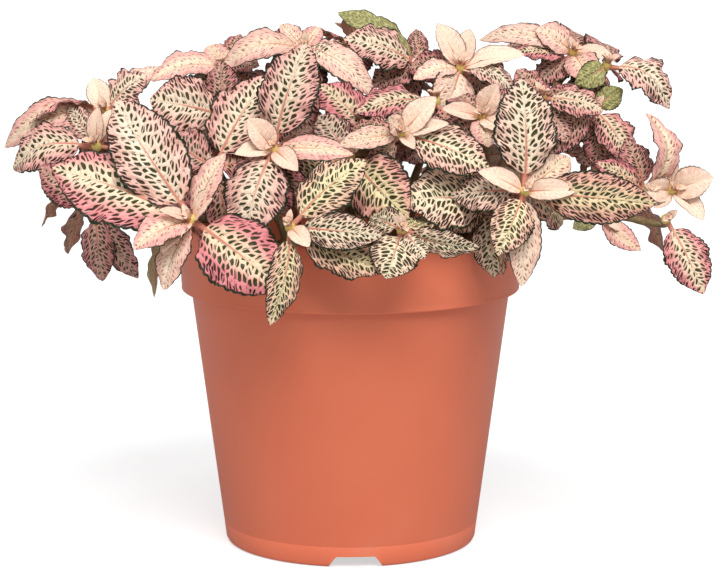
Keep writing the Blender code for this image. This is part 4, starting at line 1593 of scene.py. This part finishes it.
@dataclass
class GrowerPot:
    """The moulded plastic pot: a tapered body, a collar, a foot ring and a drained floor.

    Attributes:
        height: From the foot to the rim.
        rim_radius: The collar's radius at the rim.
        collar_low_radius: The collar's radius at its lower edge.
        collar_bottom: The height of the collar's lower edge.
        body_top_radius: The body's radius under the collar.
        body_low_radius: The body's radius at the foot.
        heel: How far the foot's outer edge is rounded.
        wall: The wall's thickness.
        foot_height: How high the floor's underside stands.
        floor_top: How high its upper side stands.
        notch_height: The drain slots' height.
        notch_top_width: Their width at the top.
        notch_low_width: Their width at the foot.
        notch_angles: Where they are round the foot, in degrees.
        drain_radius: The floor's drain holes' radius.
        drain_circle: How far they are from the middle.
        drains: How many there are.
        sides: How many sides the pot is turned with.
        sharp: The angle in degrees past which an edge of it stays sharp.
    """

    height: float = 112.6
    rim_radius: float = 60.0
    collar_low_radius: float = 59.2
    collar_bottom: float = 89.8
    body_top_radius: float = 55.8
    body_low_radius: float = 44.0
    heel: float = 1.5
    wall: float = 1.6
    foot_height: float = 6.0
    floor_top: float = 7.8
    notch_height: float = 3.9
    notch_top_width: float = 15.2
    notch_low_width: float = 18.4
    notch_angles: tuple[float, ...] = (-87.5, 32.5, 152.5)
    drain_radius: float = 4.0
    drain_circle: float = 28.0
    drains: int = 6
    sides: int = 144
    sharp: float = 32.0

    def body(self, z: float) -> float:
        """The body's outer radius at a height."""
        taper = (self.body_top_radius - self.body_low_radius) / self.collar_bottom
        return self.body_low_radius + taper * z

    def outline(self) -> list[tuple[float, float]]:
        """The pot's section as (radius, height): up its outside, then down its inside."""
        low = self.body_low_radius
        step = self.collar_low_radius - self.body_top_radius
        bottom, collar, rim = self.collar_bottom, self.collar_low_radius, self.rim_radius
        return [
            (low - 3.6, 0.0),
            (low - self.heel, 0.0),
            (self.body(0.4) - 0.45, 0.4),
            (self.body(self.heel), self.heel),
            (self.body(bottom - 0.2), bottom - 0.2),
            (self.body(bottom) + step * 0.55, bottom),
            (collar - 0.5, bottom + 0.8),
            (collar, bottom + 2.6),
            (rim, self.height - 0.8),
            (rim - 0.4, self.height),
            (rim - self.wall + 0.3, self.height),
            (rim - self.wall, self.height - 0.7),
            (collar - self.wall, bottom + 3.0),
            (self.body_top_radius - self.wall, bottom - 0.5),
            (self.body(self.floor_top) - self.wall, self.floor_top),
            (0.0, self.floor_top),
            (0.0, self.foot_height),
            (self.body(self.foot_height) - self.wall - 2.2, self.foot_height),
        ]

    def fine_outline(self) -> list[tuple[float, float]]:
        """The outline with the moulding's faint line at the floor and lip under the collar."""
        coarse = self.outline()
        line = self.floor_top - 0.5
        foot_line = [
            (self.body(line - 0.45), line - 0.45),
            (self.body(line) - 0.16, line),
            (self.body(line + 0.45), line + 0.45),
        ]
        bottom, collar = self.collar_bottom, self.collar_low_radius
        lip = [
            (self.body(bottom - 0.2), bottom - 0.2),
            (collar - 0.75, bottom - 0.05),
            (collar - 0.12, bottom + 0.25),
            (collar + 0.05, bottom + 0.75),
            (collar - 0.12, bottom + 1.35),
            (collar + 0.04, bottom + 2.6),
        ]
        return coarse[:4] + foot_line + lip + coarse[8:]

    def notch_cutter(self, angle: float) -> bpy.types.Object:
        """A low arch that cuts a drain slot through the foot ring at an angle in degrees."""
        bm = bmesh.new()
        top, low, high = self.notch_top_width / 2, self.notch_low_width / 2, self.notch_height
        shape = [
            (-low, -2.0),
            (low, -2.0),
            (low, 0.3),
            (top, high - 1.2),
            (top - 1.0, high),
            (1.0 - top, high),
            (-top, high - 1.2),
            (-low, 0.3),
        ]
        inner = self.body_low_radius - 9.0
        face = bm.faces.new([bm.verts.new((inner, across, z)) for across, z in shape])
        grown = bmesh.ops.extrude_face_region(bm, geom=[face])["geom"]
        moved = [v for v in grown if isinstance(v, bmesh.types.BMVert)]
        bmesh.ops.translate(bm, vec=(15, 0, 0), verts=moved)
        soften(bm, 0.5, 20)
        turn = Matrix.Rotation(math.radians(angle), 3, "Z")
        bmesh.ops.rotate(bm, cent=(0, 0, 0), matrix=turn, verts=bm.verts)
        bmesh.ops.recalc_face_normals(bm, faces=bm.faces)
        return piece_from("notch_cutter", bm, [])

    def drain_cutter(self, angle: float) -> bpy.types.Object:
        """A round cutter for a hole through the pot's floor at an angle in radians."""
        bm = bmesh.new()
        x, y = self.drain_circle * math.cos(angle), self.drain_circle * math.sin(angle)
        at = Matrix.Translation((x, y, (self.floor_top + self.foot_height) / 2))
        radius = self.drain_radius
        bmesh.ops.create_cone(
            bm, cap_ends=True, segments=28, radius1=radius, radius2=radius, depth=8, matrix=at
        )
        return piece_from("drain_cutter", bm, [])

    def build(self, plastic: bpy.types.Material) -> bpy.types.Object:
        """Turns the pot, rounds its edges and cuts its drain slots and holes."""
        bm = turned(self.fine_outline(), self.sides)
        soften(bm, 0.22, 24)
        pot = piece_from("grower_pot", bm, [plastic], self.sharp)
        cutters = [self.notch_cutter(angle) for angle in self.notch_angles]
        turn = 2 * math.pi / self.drains
        cutters += [self.drain_cutter(turn * (k + 0.5) + 0.05) for k in range(self.drains)]
        for cutter in cutters:
            step = pot.modifiers.new("cut", "BOOLEAN")
            step.operation = "DIFFERENCE"
            step.solver = "EXACT"
            step.object = cutter
        settle_modifiers(pot)
        for cutter in cutters:
            bpy.data.objects.remove(cutter, do_unlink=True)
        pot.data.shade_smooth()
        pot.data.set_sharp_from_angle(angle=math.radians(self.sharp))
        place(pot, "terracotta_plastic", "pot")
        return pot


@dataclass
class SoilBed:
    """The potting soil: a filled bed with a crumbly top, and loose crumbs on it.

    Attributes:
        pot: The pot that it fills.
        top: How high it stands in its middle.
        sides: How many sides the bed is turned with.
        rings: How many rings its top has.
        roughness: How rough the top is.
        crumbs: How many loose crumbs lie on it.
        crumb_radius: The smallest and the largest crumb.
    """

    pot: GrowerPot
    top: float = SOIL_TOP
    sides: int = 96
    rings: int = 30
    roughness: float = 1.7
    crumbs: int = 620
    crumb_radius: tuple[float, float] = (0.5, 1.5)

    def outline(self) -> list[tuple[float, float]]:
        """The bed's section as (radius, height), as the model holds it."""
        pot = self.pot
        inner_low = pot.body(pot.floor_top) - pot.wall - GAP
        inner_body = pot.body_top_radius - pot.wall - GAP - 0.1
        inner_top = pot.collar_low_radius - pot.wall - GAP
        return [
            (0.0, pot.floor_top + GAP),
            (inner_low - 0.3, pot.floor_top + GAP),
            (inner_body, pot.collar_bottom - 0.8),
            (inner_top - 0.4, pot.collar_bottom + 3.4),
            (inner_top - 0.2, self.top - 1.5),
            (inner_top - 6, self.top - 0.3),
            (0.0, self.top),
        ]

    def lift(self, x: float, y: float) -> float:
        """How far the soil's top stands above its level at a place."""
        coarse = noise.noise(Vector((x / 14, y / 14, 3.1)))
        fine = noise.noise(Vector((x / 4.2, y / 4.2, 8.7)))
        grit = noise.noise(Vector((x / 1.7, y / 1.7, 1.3)))
        return self.roughness * (0.8 * coarse + 0.6 * fine + 0.3 * grit) - 0.9

    def build(self, peat: bpy.types.Material) -> None:
        """Turns the bed with a fine top, roughens it and scatters the crumbs."""
        outline = self.outline()
        edge = outline[-2][0]
        shares = [1 - k / self.rings for k in range(self.rings)]
        rings = [(edge * share, self.top - 0.3 * share) for share in shares]
        bm = turned(outline[:-2] + rings + [(0.0, self.top)], self.sides)
        for vert in bm.verts:
            if vert.co.z > self.top - 0.6:
                vert.co.z += self.lift(vert.co.x, vert.co.y)
        bed = piece_from("soil_bed", bm, [peat], 80)
        place(bed, "potting_soil", "potting_soil")
        self.scatter(edge, peat)

    def scatter(self, edge: float, peat: bpy.types.Material) -> None:
        """Strews crumbs of peat over the top, out to a radius."""
        dice = random.Random("soil crumbs")
        bm = bmesh.new()
        for _ in range(self.crumbs):
            turn = dice.uniform(0, 2 * math.pi)
            away = edge * 1.02 * math.sqrt(dice.random())
            x, y = away * math.cos(turn), away * math.sin(turn)
            size = dice.uniform(*self.crumb_radius)
            spot = Vector((x, y, self.top + self.lift(x, y) + size * 0.25))
            shape = Matrix.Diagonal((dice.uniform(0.8, 1.5), 1, dice.uniform(0.6, 1), 1))
            spin = Matrix.Rotation(dice.uniform(0, 6), 4, dice.choice(("X", "Y", "Z")))
            matrix = Matrix.Translation(spot) @ spin @ shape
            made = bmesh.ops.create_icosphere(bm, subdivisions=1, radius=size, matrix=matrix)
            for vert in made["verts"]:
                vert.co += noise.noise_vector(vert.co * 0.9) * size * 0.45
        crumbs = piece_from("soil_crumbs", bm, [peat], 60)
        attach(crumbs, "root")
        log.info("%s: %d faces", crumbs.name, len(crumbs.data.polygons))


# Stems


@dataclass
class StemShape:
    """A soft round stem with slightly swollen joints.

    Attributes:
        sides: Faces around it.
        fineness: Steps for each step of the model's tube.
        joint_every: Distance between its swollen joints.
        swelling: How much thicker a joint is, as a share.
        shortness: How short the swelling is along the stem, as a power.
        taper: How much thinner the stem's end is, as a share.
        sink: How far its foot goes down into the soil.
    """

    sides: int = 12
    fineness: int = 7
    joint_every: float = 15.0
    swelling: float = 0.24
    shortness: int = 14
    taper: float = 0.22
    sink: float = 2.5

    def build(self, stem: Stem, skin: bpy.types.Material) -> None:
        """Draws a stem's tube along its settled route."""
        path = smooth_path(stem.route, stem.steps * self.fineness)
        path[0] = path[0] - UP * self.sink
        total = sum((b - a).length for a, b in zip(path, path[1:]))
        joints = max(1, round(total / self.joint_every))
        radii = []
        gone = 0.0
        for k, at in enumerate(path):
            if k:
                gone += (at - path[k - 1]).length
            share = gone / total
            near = math.cos(math.pi * share * joints) ** 2
            swollen = 1 + self.swelling * near**self.shortness
            radii.append(STEM_RADIUS * (1 - self.taper * share) * swollen * 0.98)
        bm = bmesh.new()
        sweep(bm, path, radii, self.sides, 0)
        place(piece_from("branch_%02d" % stem.number, bm, [skin]), "plant_stem", stem.node)


# Leaves


@dataclass(frozen=True)
class Fineness:
    """How fine a blade's grid is, and how many scallops its margin has."""

    rows: int
    columns: int
    scallops: int


# From which width a blade is made how finely, the widest first.
FINENESS = ((14, Fineness(42, 14, 14)), (9, Fineness(30, 14, 10)), (0, Fineness(18, 8, 5)))


def fineness(width: float) -> Fineness:
    """How finely a blade of some width is made."""
    return next(fine for least, fine in FINENESS if width >= least)


@dataclass
class BladeShape:
    """How a leaf's blade is made finer than the model's: its section, margin and veins.

    Attributes:
        thick: The blade's thickness at its midrib.
        groove: Depth of the groove over the midrib.
        groove_width: Its width, as a share of half the blade's.
        belly: How far each half of the blade bulges upwards, as a share of its half width.
        scallop: Depth of the margin's scallops, as a share of the half width.
        ripple: Height of the margin's waves, as a share of the half width.
        point: How much the tip is narrowed to a point.
    """

    thick: float = 0.5
    groove: float = 0.45
    groove_width: float = 0.10
    belly: float = 0.10
    scallop: float = 0.06
    ripple: float = 0.15
    point: float = 0.5

    def build(
        self,
        bm: bmesh.types.BMesh,
        leaf: Leaf,
        axis: Vector,
        root: Vector,
        seed: float,
        blush: float,
    ) -> None:
        """Adds one leaf to a shoot's mesh: its blade, then its stalk and rib.

        Args:
            bm: The shoot's mesh.
            leaf: The leaf.
            axis: The way its shoot faces.
            root: Where the leaf starts.
            seed: A number from 0 to 1 that sets its small differences.
            blush: How pink and dark its veins are, from 0 to 1, partly painted shade; a pale back
                is marked with -1.
        """
        fine = fineness(leaf.width)
        map_layer = bm.loops.layers.uv[LEAF_MAP]
        layers = {name: bm.verts.layers.float[name] for name in ATTRIBUTES}
        sheets: list[bmesh.types.BMVert] = []
        if leaf.age == PALE_BACK:
            blush = -1.0
        for upper in (True, False):
            segments = {"x_segments": fine.columns, "y_segments": fine.rows}
            verts = bmesh.ops.create_grid(bm, **segments, size=1.0)["verts"]
            for face in {f for v in verts for f in v.link_faces}:
                face.material_index = Paint.UPPER if upper else Paint.UNDER
                for loop in face.loops:
                    loop[map_layer].uv = (loop.vert.co.x / 2 + 0.5, loop.vert.co.y / 2 + 0.5)
            for vert in verts:
                across, share = vert.co.x, vert.co.y / 2 + 0.5
                vert.co, reach = self.surface(leaf, axis, root, across, share, seed, upper)
                carried = (MATURITY[leaf.age], seed, reach, leaf.reach.length, blush)
                for layer, value in zip(layers.values(), carried):
                    vert[layer] = value
            sheets += verts
        bmesh.ops.remove_doubles(bm, verts=sheets, dist=1e-3)
        self.stalk(bm, leaf, axis, root, seed, layers)

    def surface(
        self,
        leaf: Leaf,
        axis: Vector,
        root: Vector,
        across: float,
        share: float,
        seed: float,
        upper: bool,
    ) -> tuple[Vector, float]:
        """A point of the blade.

        Args:
            leaf: The leaf.
            axis: The way its shoot faces.
            root: Where the leaf starts.
            across: From -1 at one margin to 1 at the other.
            share: From 0 at the blade's base to 1 at the tip.
            seed: Sets the leaf's small differences.
            upper: Whether the point is on the upper face.

        Returns:
            The point, and how far it is from the midrib as a share of the greatest half width.
        """
        stalk = STALK[leaf.age]
        along = stalk + (1 - stalk) * share
        at, out, side = leaf.midrib(axis, root, along)
        greatest = leaf.width / 2
        half = greatest * min(1.0, leaf.blade_share(along))
        half *= 1 - self.point * (0.4 + 0.6 * seed) * share**6
        away = abs(across)
        dent = 1 - abs(math.sin(math.pi * fineness(leaf.width).scallops * share))
        wide = half * (1 - self.scallop * dent * away**4)
        fold = FOLD[leaf.age]
        turn = seed * 20
        wave = math.sin(2 * math.pi * 2.6 * share + turn + (1.9 if across > 0 else 0))
        wave += 0.6 * math.sin(2 * math.pi * 5.3 * share + 2 * turn)
        lift = fold * half * away
        lift += self.belly * half * math.sin(math.pi * away**0.8) * (1 if fold <= 0.1 else 0.5)
        lift += self.ripple * WAVINESS[leaf.age] * half * wave * away**2.5
        lift -= self.groove * math.exp(-((away / self.groove_width) ** 2)) * (1 - share)
        body = self.thick * (1 - away**3) * (0.15 + 0.85 * min(1.0, half / greatest * 2))
        if not upper:
            lift -= body
        return at + side * (wide * across) + out * lift, away * half / greatest

    def stalk(
        self,
        bm: bmesh.types.BMesh,
        leaf: Leaf,
        axis: Vector,
        root: Vector,
        seed: float,
        layers: dict[str, bmesh.types.BMLayerItem],
    ) -> None:
        """Adds the leaf's stalk, which runs on as a rib under the blade."""
        steps = 14
        thickest = 0.35 + 0.028 * leaf.width
        path, radii = [], []
        for k in range(steps + 1):
            share = k / steps * 0.9
            at, out, _ = leaf.midrib(axis, root, share)
            radius = thickest * (1 - share) + 0.12
            path.append(at - out * (0.25 + radius * 0.7) * min(1.0, share / 0.12))
            radii.append(radius)
        for vert in sweep(bm, path, radii, 8, Paint.FLESH):
            vert[layers["leaf_age"]] = STALK_MATURITY
            vert[layers["leaf_seed"]] = seed


@dataclass
class ShootShape:
    """A shoot's leaves, growing point and the tiny leaves in its middle.

    Attributes:
        blade: How a blade is shaped.
        tiny_length: Length of the tiny leaves.
        tiny_width: Their width.
        pale_lit_spot: Where leaves are palest; away from it veins get pinker and darker, partly
            painted shade.
        pale_reach: How near to it leaves are palest, and how far off they are pinkest and most
            shaded.
    """

    blade: BladeShape
    tiny_length: float = 5.0
    tiny_width: float = 2.8
    pale_lit_spot: tuple[float, float, float] = (20, -75, 122)
    pale_reach: tuple[float, float] = (35, 55)

    def blush(self, at: Vector) -> float:
        """How pink and dark the veins of a shoot at a place are, from 0 to 1, partly painted shade.
        """
        away = at - Vector(self.pale_lit_spot)
        away.z *= 1.5
        low, high = self.pale_reach
        return min(1.0, max(0.0, (away.length - low) / (high - low)))

    def build(self, shoot: Shoot, paints: list[bpy.types.Material]) -> None:
        """Makes one piece of a shoot and lets it stand for the model's."""
        bm = bmesh.new()
        bm.loops.layers.uv.new(LEAF_MAP)
        for name in ATTRIBUTES:
            bm.verts.layers.float.new(name)
        dice = random.Random("leaf " + shoot.name)
        # Pinker, darker veins away from the palest spot: partly a real pink tint, partly painted
        # shade on low, left and back shoots.
        blush = self.blush(shoot.at)
        for leaf in shoot.leaves:
            root = shoot.at + leaf.reach.normalized() * 0.5
            self.blade.build(bm, leaf, shoot.axis, root, dice.random(), blush)
        self.growing_point(bm, shoot, dice)
        piece = piece_from("leaves_" + shoot.name, bm, paints, 75)
        place(piece, "nerve_leaf", "shoot_" + shoot.name)

    def growing_point(self, bm: bmesh.types.BMesh, shoot: Shoot, dice: random.Random) -> None:
        """Adds the swollen joint that the leaves stand on and two pairs of tiny folded leaves."""
        layers = {name: bm.verts.layers.float[name] for name in ATTRIBUTES}
        turn = shoot.axis.to_track_quat("Z", "Y").to_matrix().to_4x4()
        shape = Matrix.Diagonal((HUB_RADIUS * 0.8, HUB_RADIUS * 0.8, HUB_HALF * 0.95, 1))
        matrix = Matrix.Translation(shoot.at) @ turn @ shape
        made = bmesh.ops.create_icosphere(bm, subdivisions=3, radius=1.0, matrix=matrix)["verts"]
        for vert in made:
            vert[layers["leaf_age"]] = BUD_MATURITY
            vert[layers["leaf_seed"]] = dice.random() * 0.1
        for face in {f for v in made for f in v.link_faces}:
            face.material_index = Paint.FLESH
        side = shoot.axis.orthogonal().normalized()
        side.rotate(Matrix.Rotation(dice.uniform(0, 3), 3, shoot.axis))
        for pair, lean in enumerate((0.75, 0.35)):
            for way in (1, -1):
                out = side if pair == 0 else shoot.axis.cross(side)
                reach = (shoot.axis + out * way * lean).normalized()
                reach *= self.tiny_length * (1.1 - 0.3 * pair)
                tiny = Leaf(*reach, self.tiny_width, 0.12, dice.uniform(-8, 8), YOUNG)
                root = shoot.at + shoot.axis * HUB_HALF * 0.55
                self.blade.build(bm, tiny, shoot.axis, root, dice.random(), 1.0)


# Studio


@dataclass
class Studio:
    """A pale floor, soft light and the camera.

    Attributes:
        eye: Where the camera is, in metres.
        tilt: How far it looks down, in degrees.
        lens: Its lens for its sensor.
        sensor: The sensor's width.
        floor_size: The floor's side, in metres.
        ambient: How bright the surround is.
        key: How bright the main light is.
        fill: How bright the light from the other side is.
    """

    eye: tuple[float, float, float] = (0.00475, -0.9, 0.235)
    tilt: float = 9.17
    lens: float = 128.3
    sensor: float = 36.0
    floor_size: float = 14.0
    ambient: float = 0.5
    key: float = 2.5
    fill: float = 0.5

    def build(self) -> None:
        """Sets up the camera, the floor and the lights."""
        scene = bpy.context.scene
        scene.view_settings.view_transform = "Standard"
        lens = bpy.data.cameras.new("camera")
        lens.lens = self.lens
        lens.sensor_width = self.sensor
        lens.clip_start = 0.01
        camera = bpy.data.objects.new("camera", lens)
        camera.location = self.eye
        camera.rotation_euler = (math.radians(90 - self.tilt), 0, 0)
        scene.collection.objects.link(camera)
        scene.camera = camera
        self.floor()
        self.sun("key", self.key, (44, 0, 12), 30)
        self.sun("fill", self.fill, (40, 0, -50), 60)
        self.sky(scene)

    def floor(self) -> None:
        """A plain pale floor."""
        bm = bmesh.new()
        bmesh.ops.create_grid(bm, x_segments=1, y_segments=1, size=self.floor_size / 2 / MM)
        floor = piece_from("floor", bm, [self.floor_paint()])
        floor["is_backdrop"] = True

    def floor_paint(self) -> bpy.types.Material:
        """A matt near white, which throws little light back up at the plant."""
        made = bpy.data.materials.new("pale floor")
        made.use_nodes = True
        sheet = Sheet(made.node_tree)
        shader = made.node_tree.nodes["Principled BSDF"]
        shader.inputs["Base Color"].default_value = (0.5, 0.5, 0.5, 1)
        shader.inputs["Roughness"].default_value = 0.9
        shader.inputs["Specular IOR Level"].default_value = 0.1
        shader.inputs["Emission Color"].default_value = (1, 1, 1, 1)
        seen = sheet.node("LightPath").outputs["Is Camera Ray"]
        sheet.tree.links.new(sheet.sum("MULTIPLY", seen, 0.6), shader.inputs["Emission Strength"])
        return made

    def sun(self, name: str, strength: float, turn: tuple[float, ...], spread: float) -> None:
        """A wide soft light from far away, turned by angles in degrees."""
        light = bpy.data.lights.new(name, "SUN")
        light.energy = strength
        light.angle = math.radians(spread)
        lamp = bpy.data.objects.new(name, light)
        lamp.rotation_euler = [math.radians(v) for v in turn]
        bpy.context.scene.collection.objects.link(lamp)

    def sky(self, scene: bpy.types.Scene) -> None:
        """An even white surround."""
        world = bpy.data.worlds.new("surround")
        world.use_nodes = True
        back = world.node_tree.nodes["Background"]
        back.inputs["Color"].default_value = (1, 1, 1, 1)
        back.inputs["Strength"].default_value = self.ambient
        scene.world = world


def write_sizes() -> None:
    """Works out the model's box and the finished pieces' box, as plain lists."""
    boxes = {"cad": CAD_BOX, "visual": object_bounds()}
    plain = {name: [list(corner) for corner in box] for name, box in boxes.items()}


def main() -> None:
    """Builds the studio and every piece of the plant."""
    logging.basicConfig(level=logging.INFO, format="%(message)s")
    Studio().build()
    mottle, net = Mottle(), NerveNet()
    pot = GrowerPot()
    soil = SoilBed(pot)
    pot.build(TerracottaPlastic("terracotta plastic", 0.48, 0.05, 0.0002, 0.5).make(mottle))
    soil.build(PottingSoil("potting soil", 0.92, 0.9, 0.0012, 0.25).make(mottle))
    habit = Habit(pot, soil)
    skin = SoftStem("stem skin", 0.5, 0.35, 0.0003, 0.4).make(mottle)
    for stem in habit.stems:
        StemShape().build(stem, skin)
    paints = [
        NerveLeaf("nerve leaf", 0.5, 0.8, 0.0007, 0.3, net=net).make(mottle),
        NerveLeaf("leaf underside", 0.62, 0.45, 0.0004, 0.25, net=net, cover=0.38).make(mottle),
        LeafFlesh("stalk and bud", 0.45, 0.2, 0.0002, 0.35).make(mottle),
    ]
    shape = ShootShape(BladeShape())
    for shoot in habit.shoots.values():
        shape.build(shoot, paints)
    write_sizes()


if __name__ == "__main__":
    main()
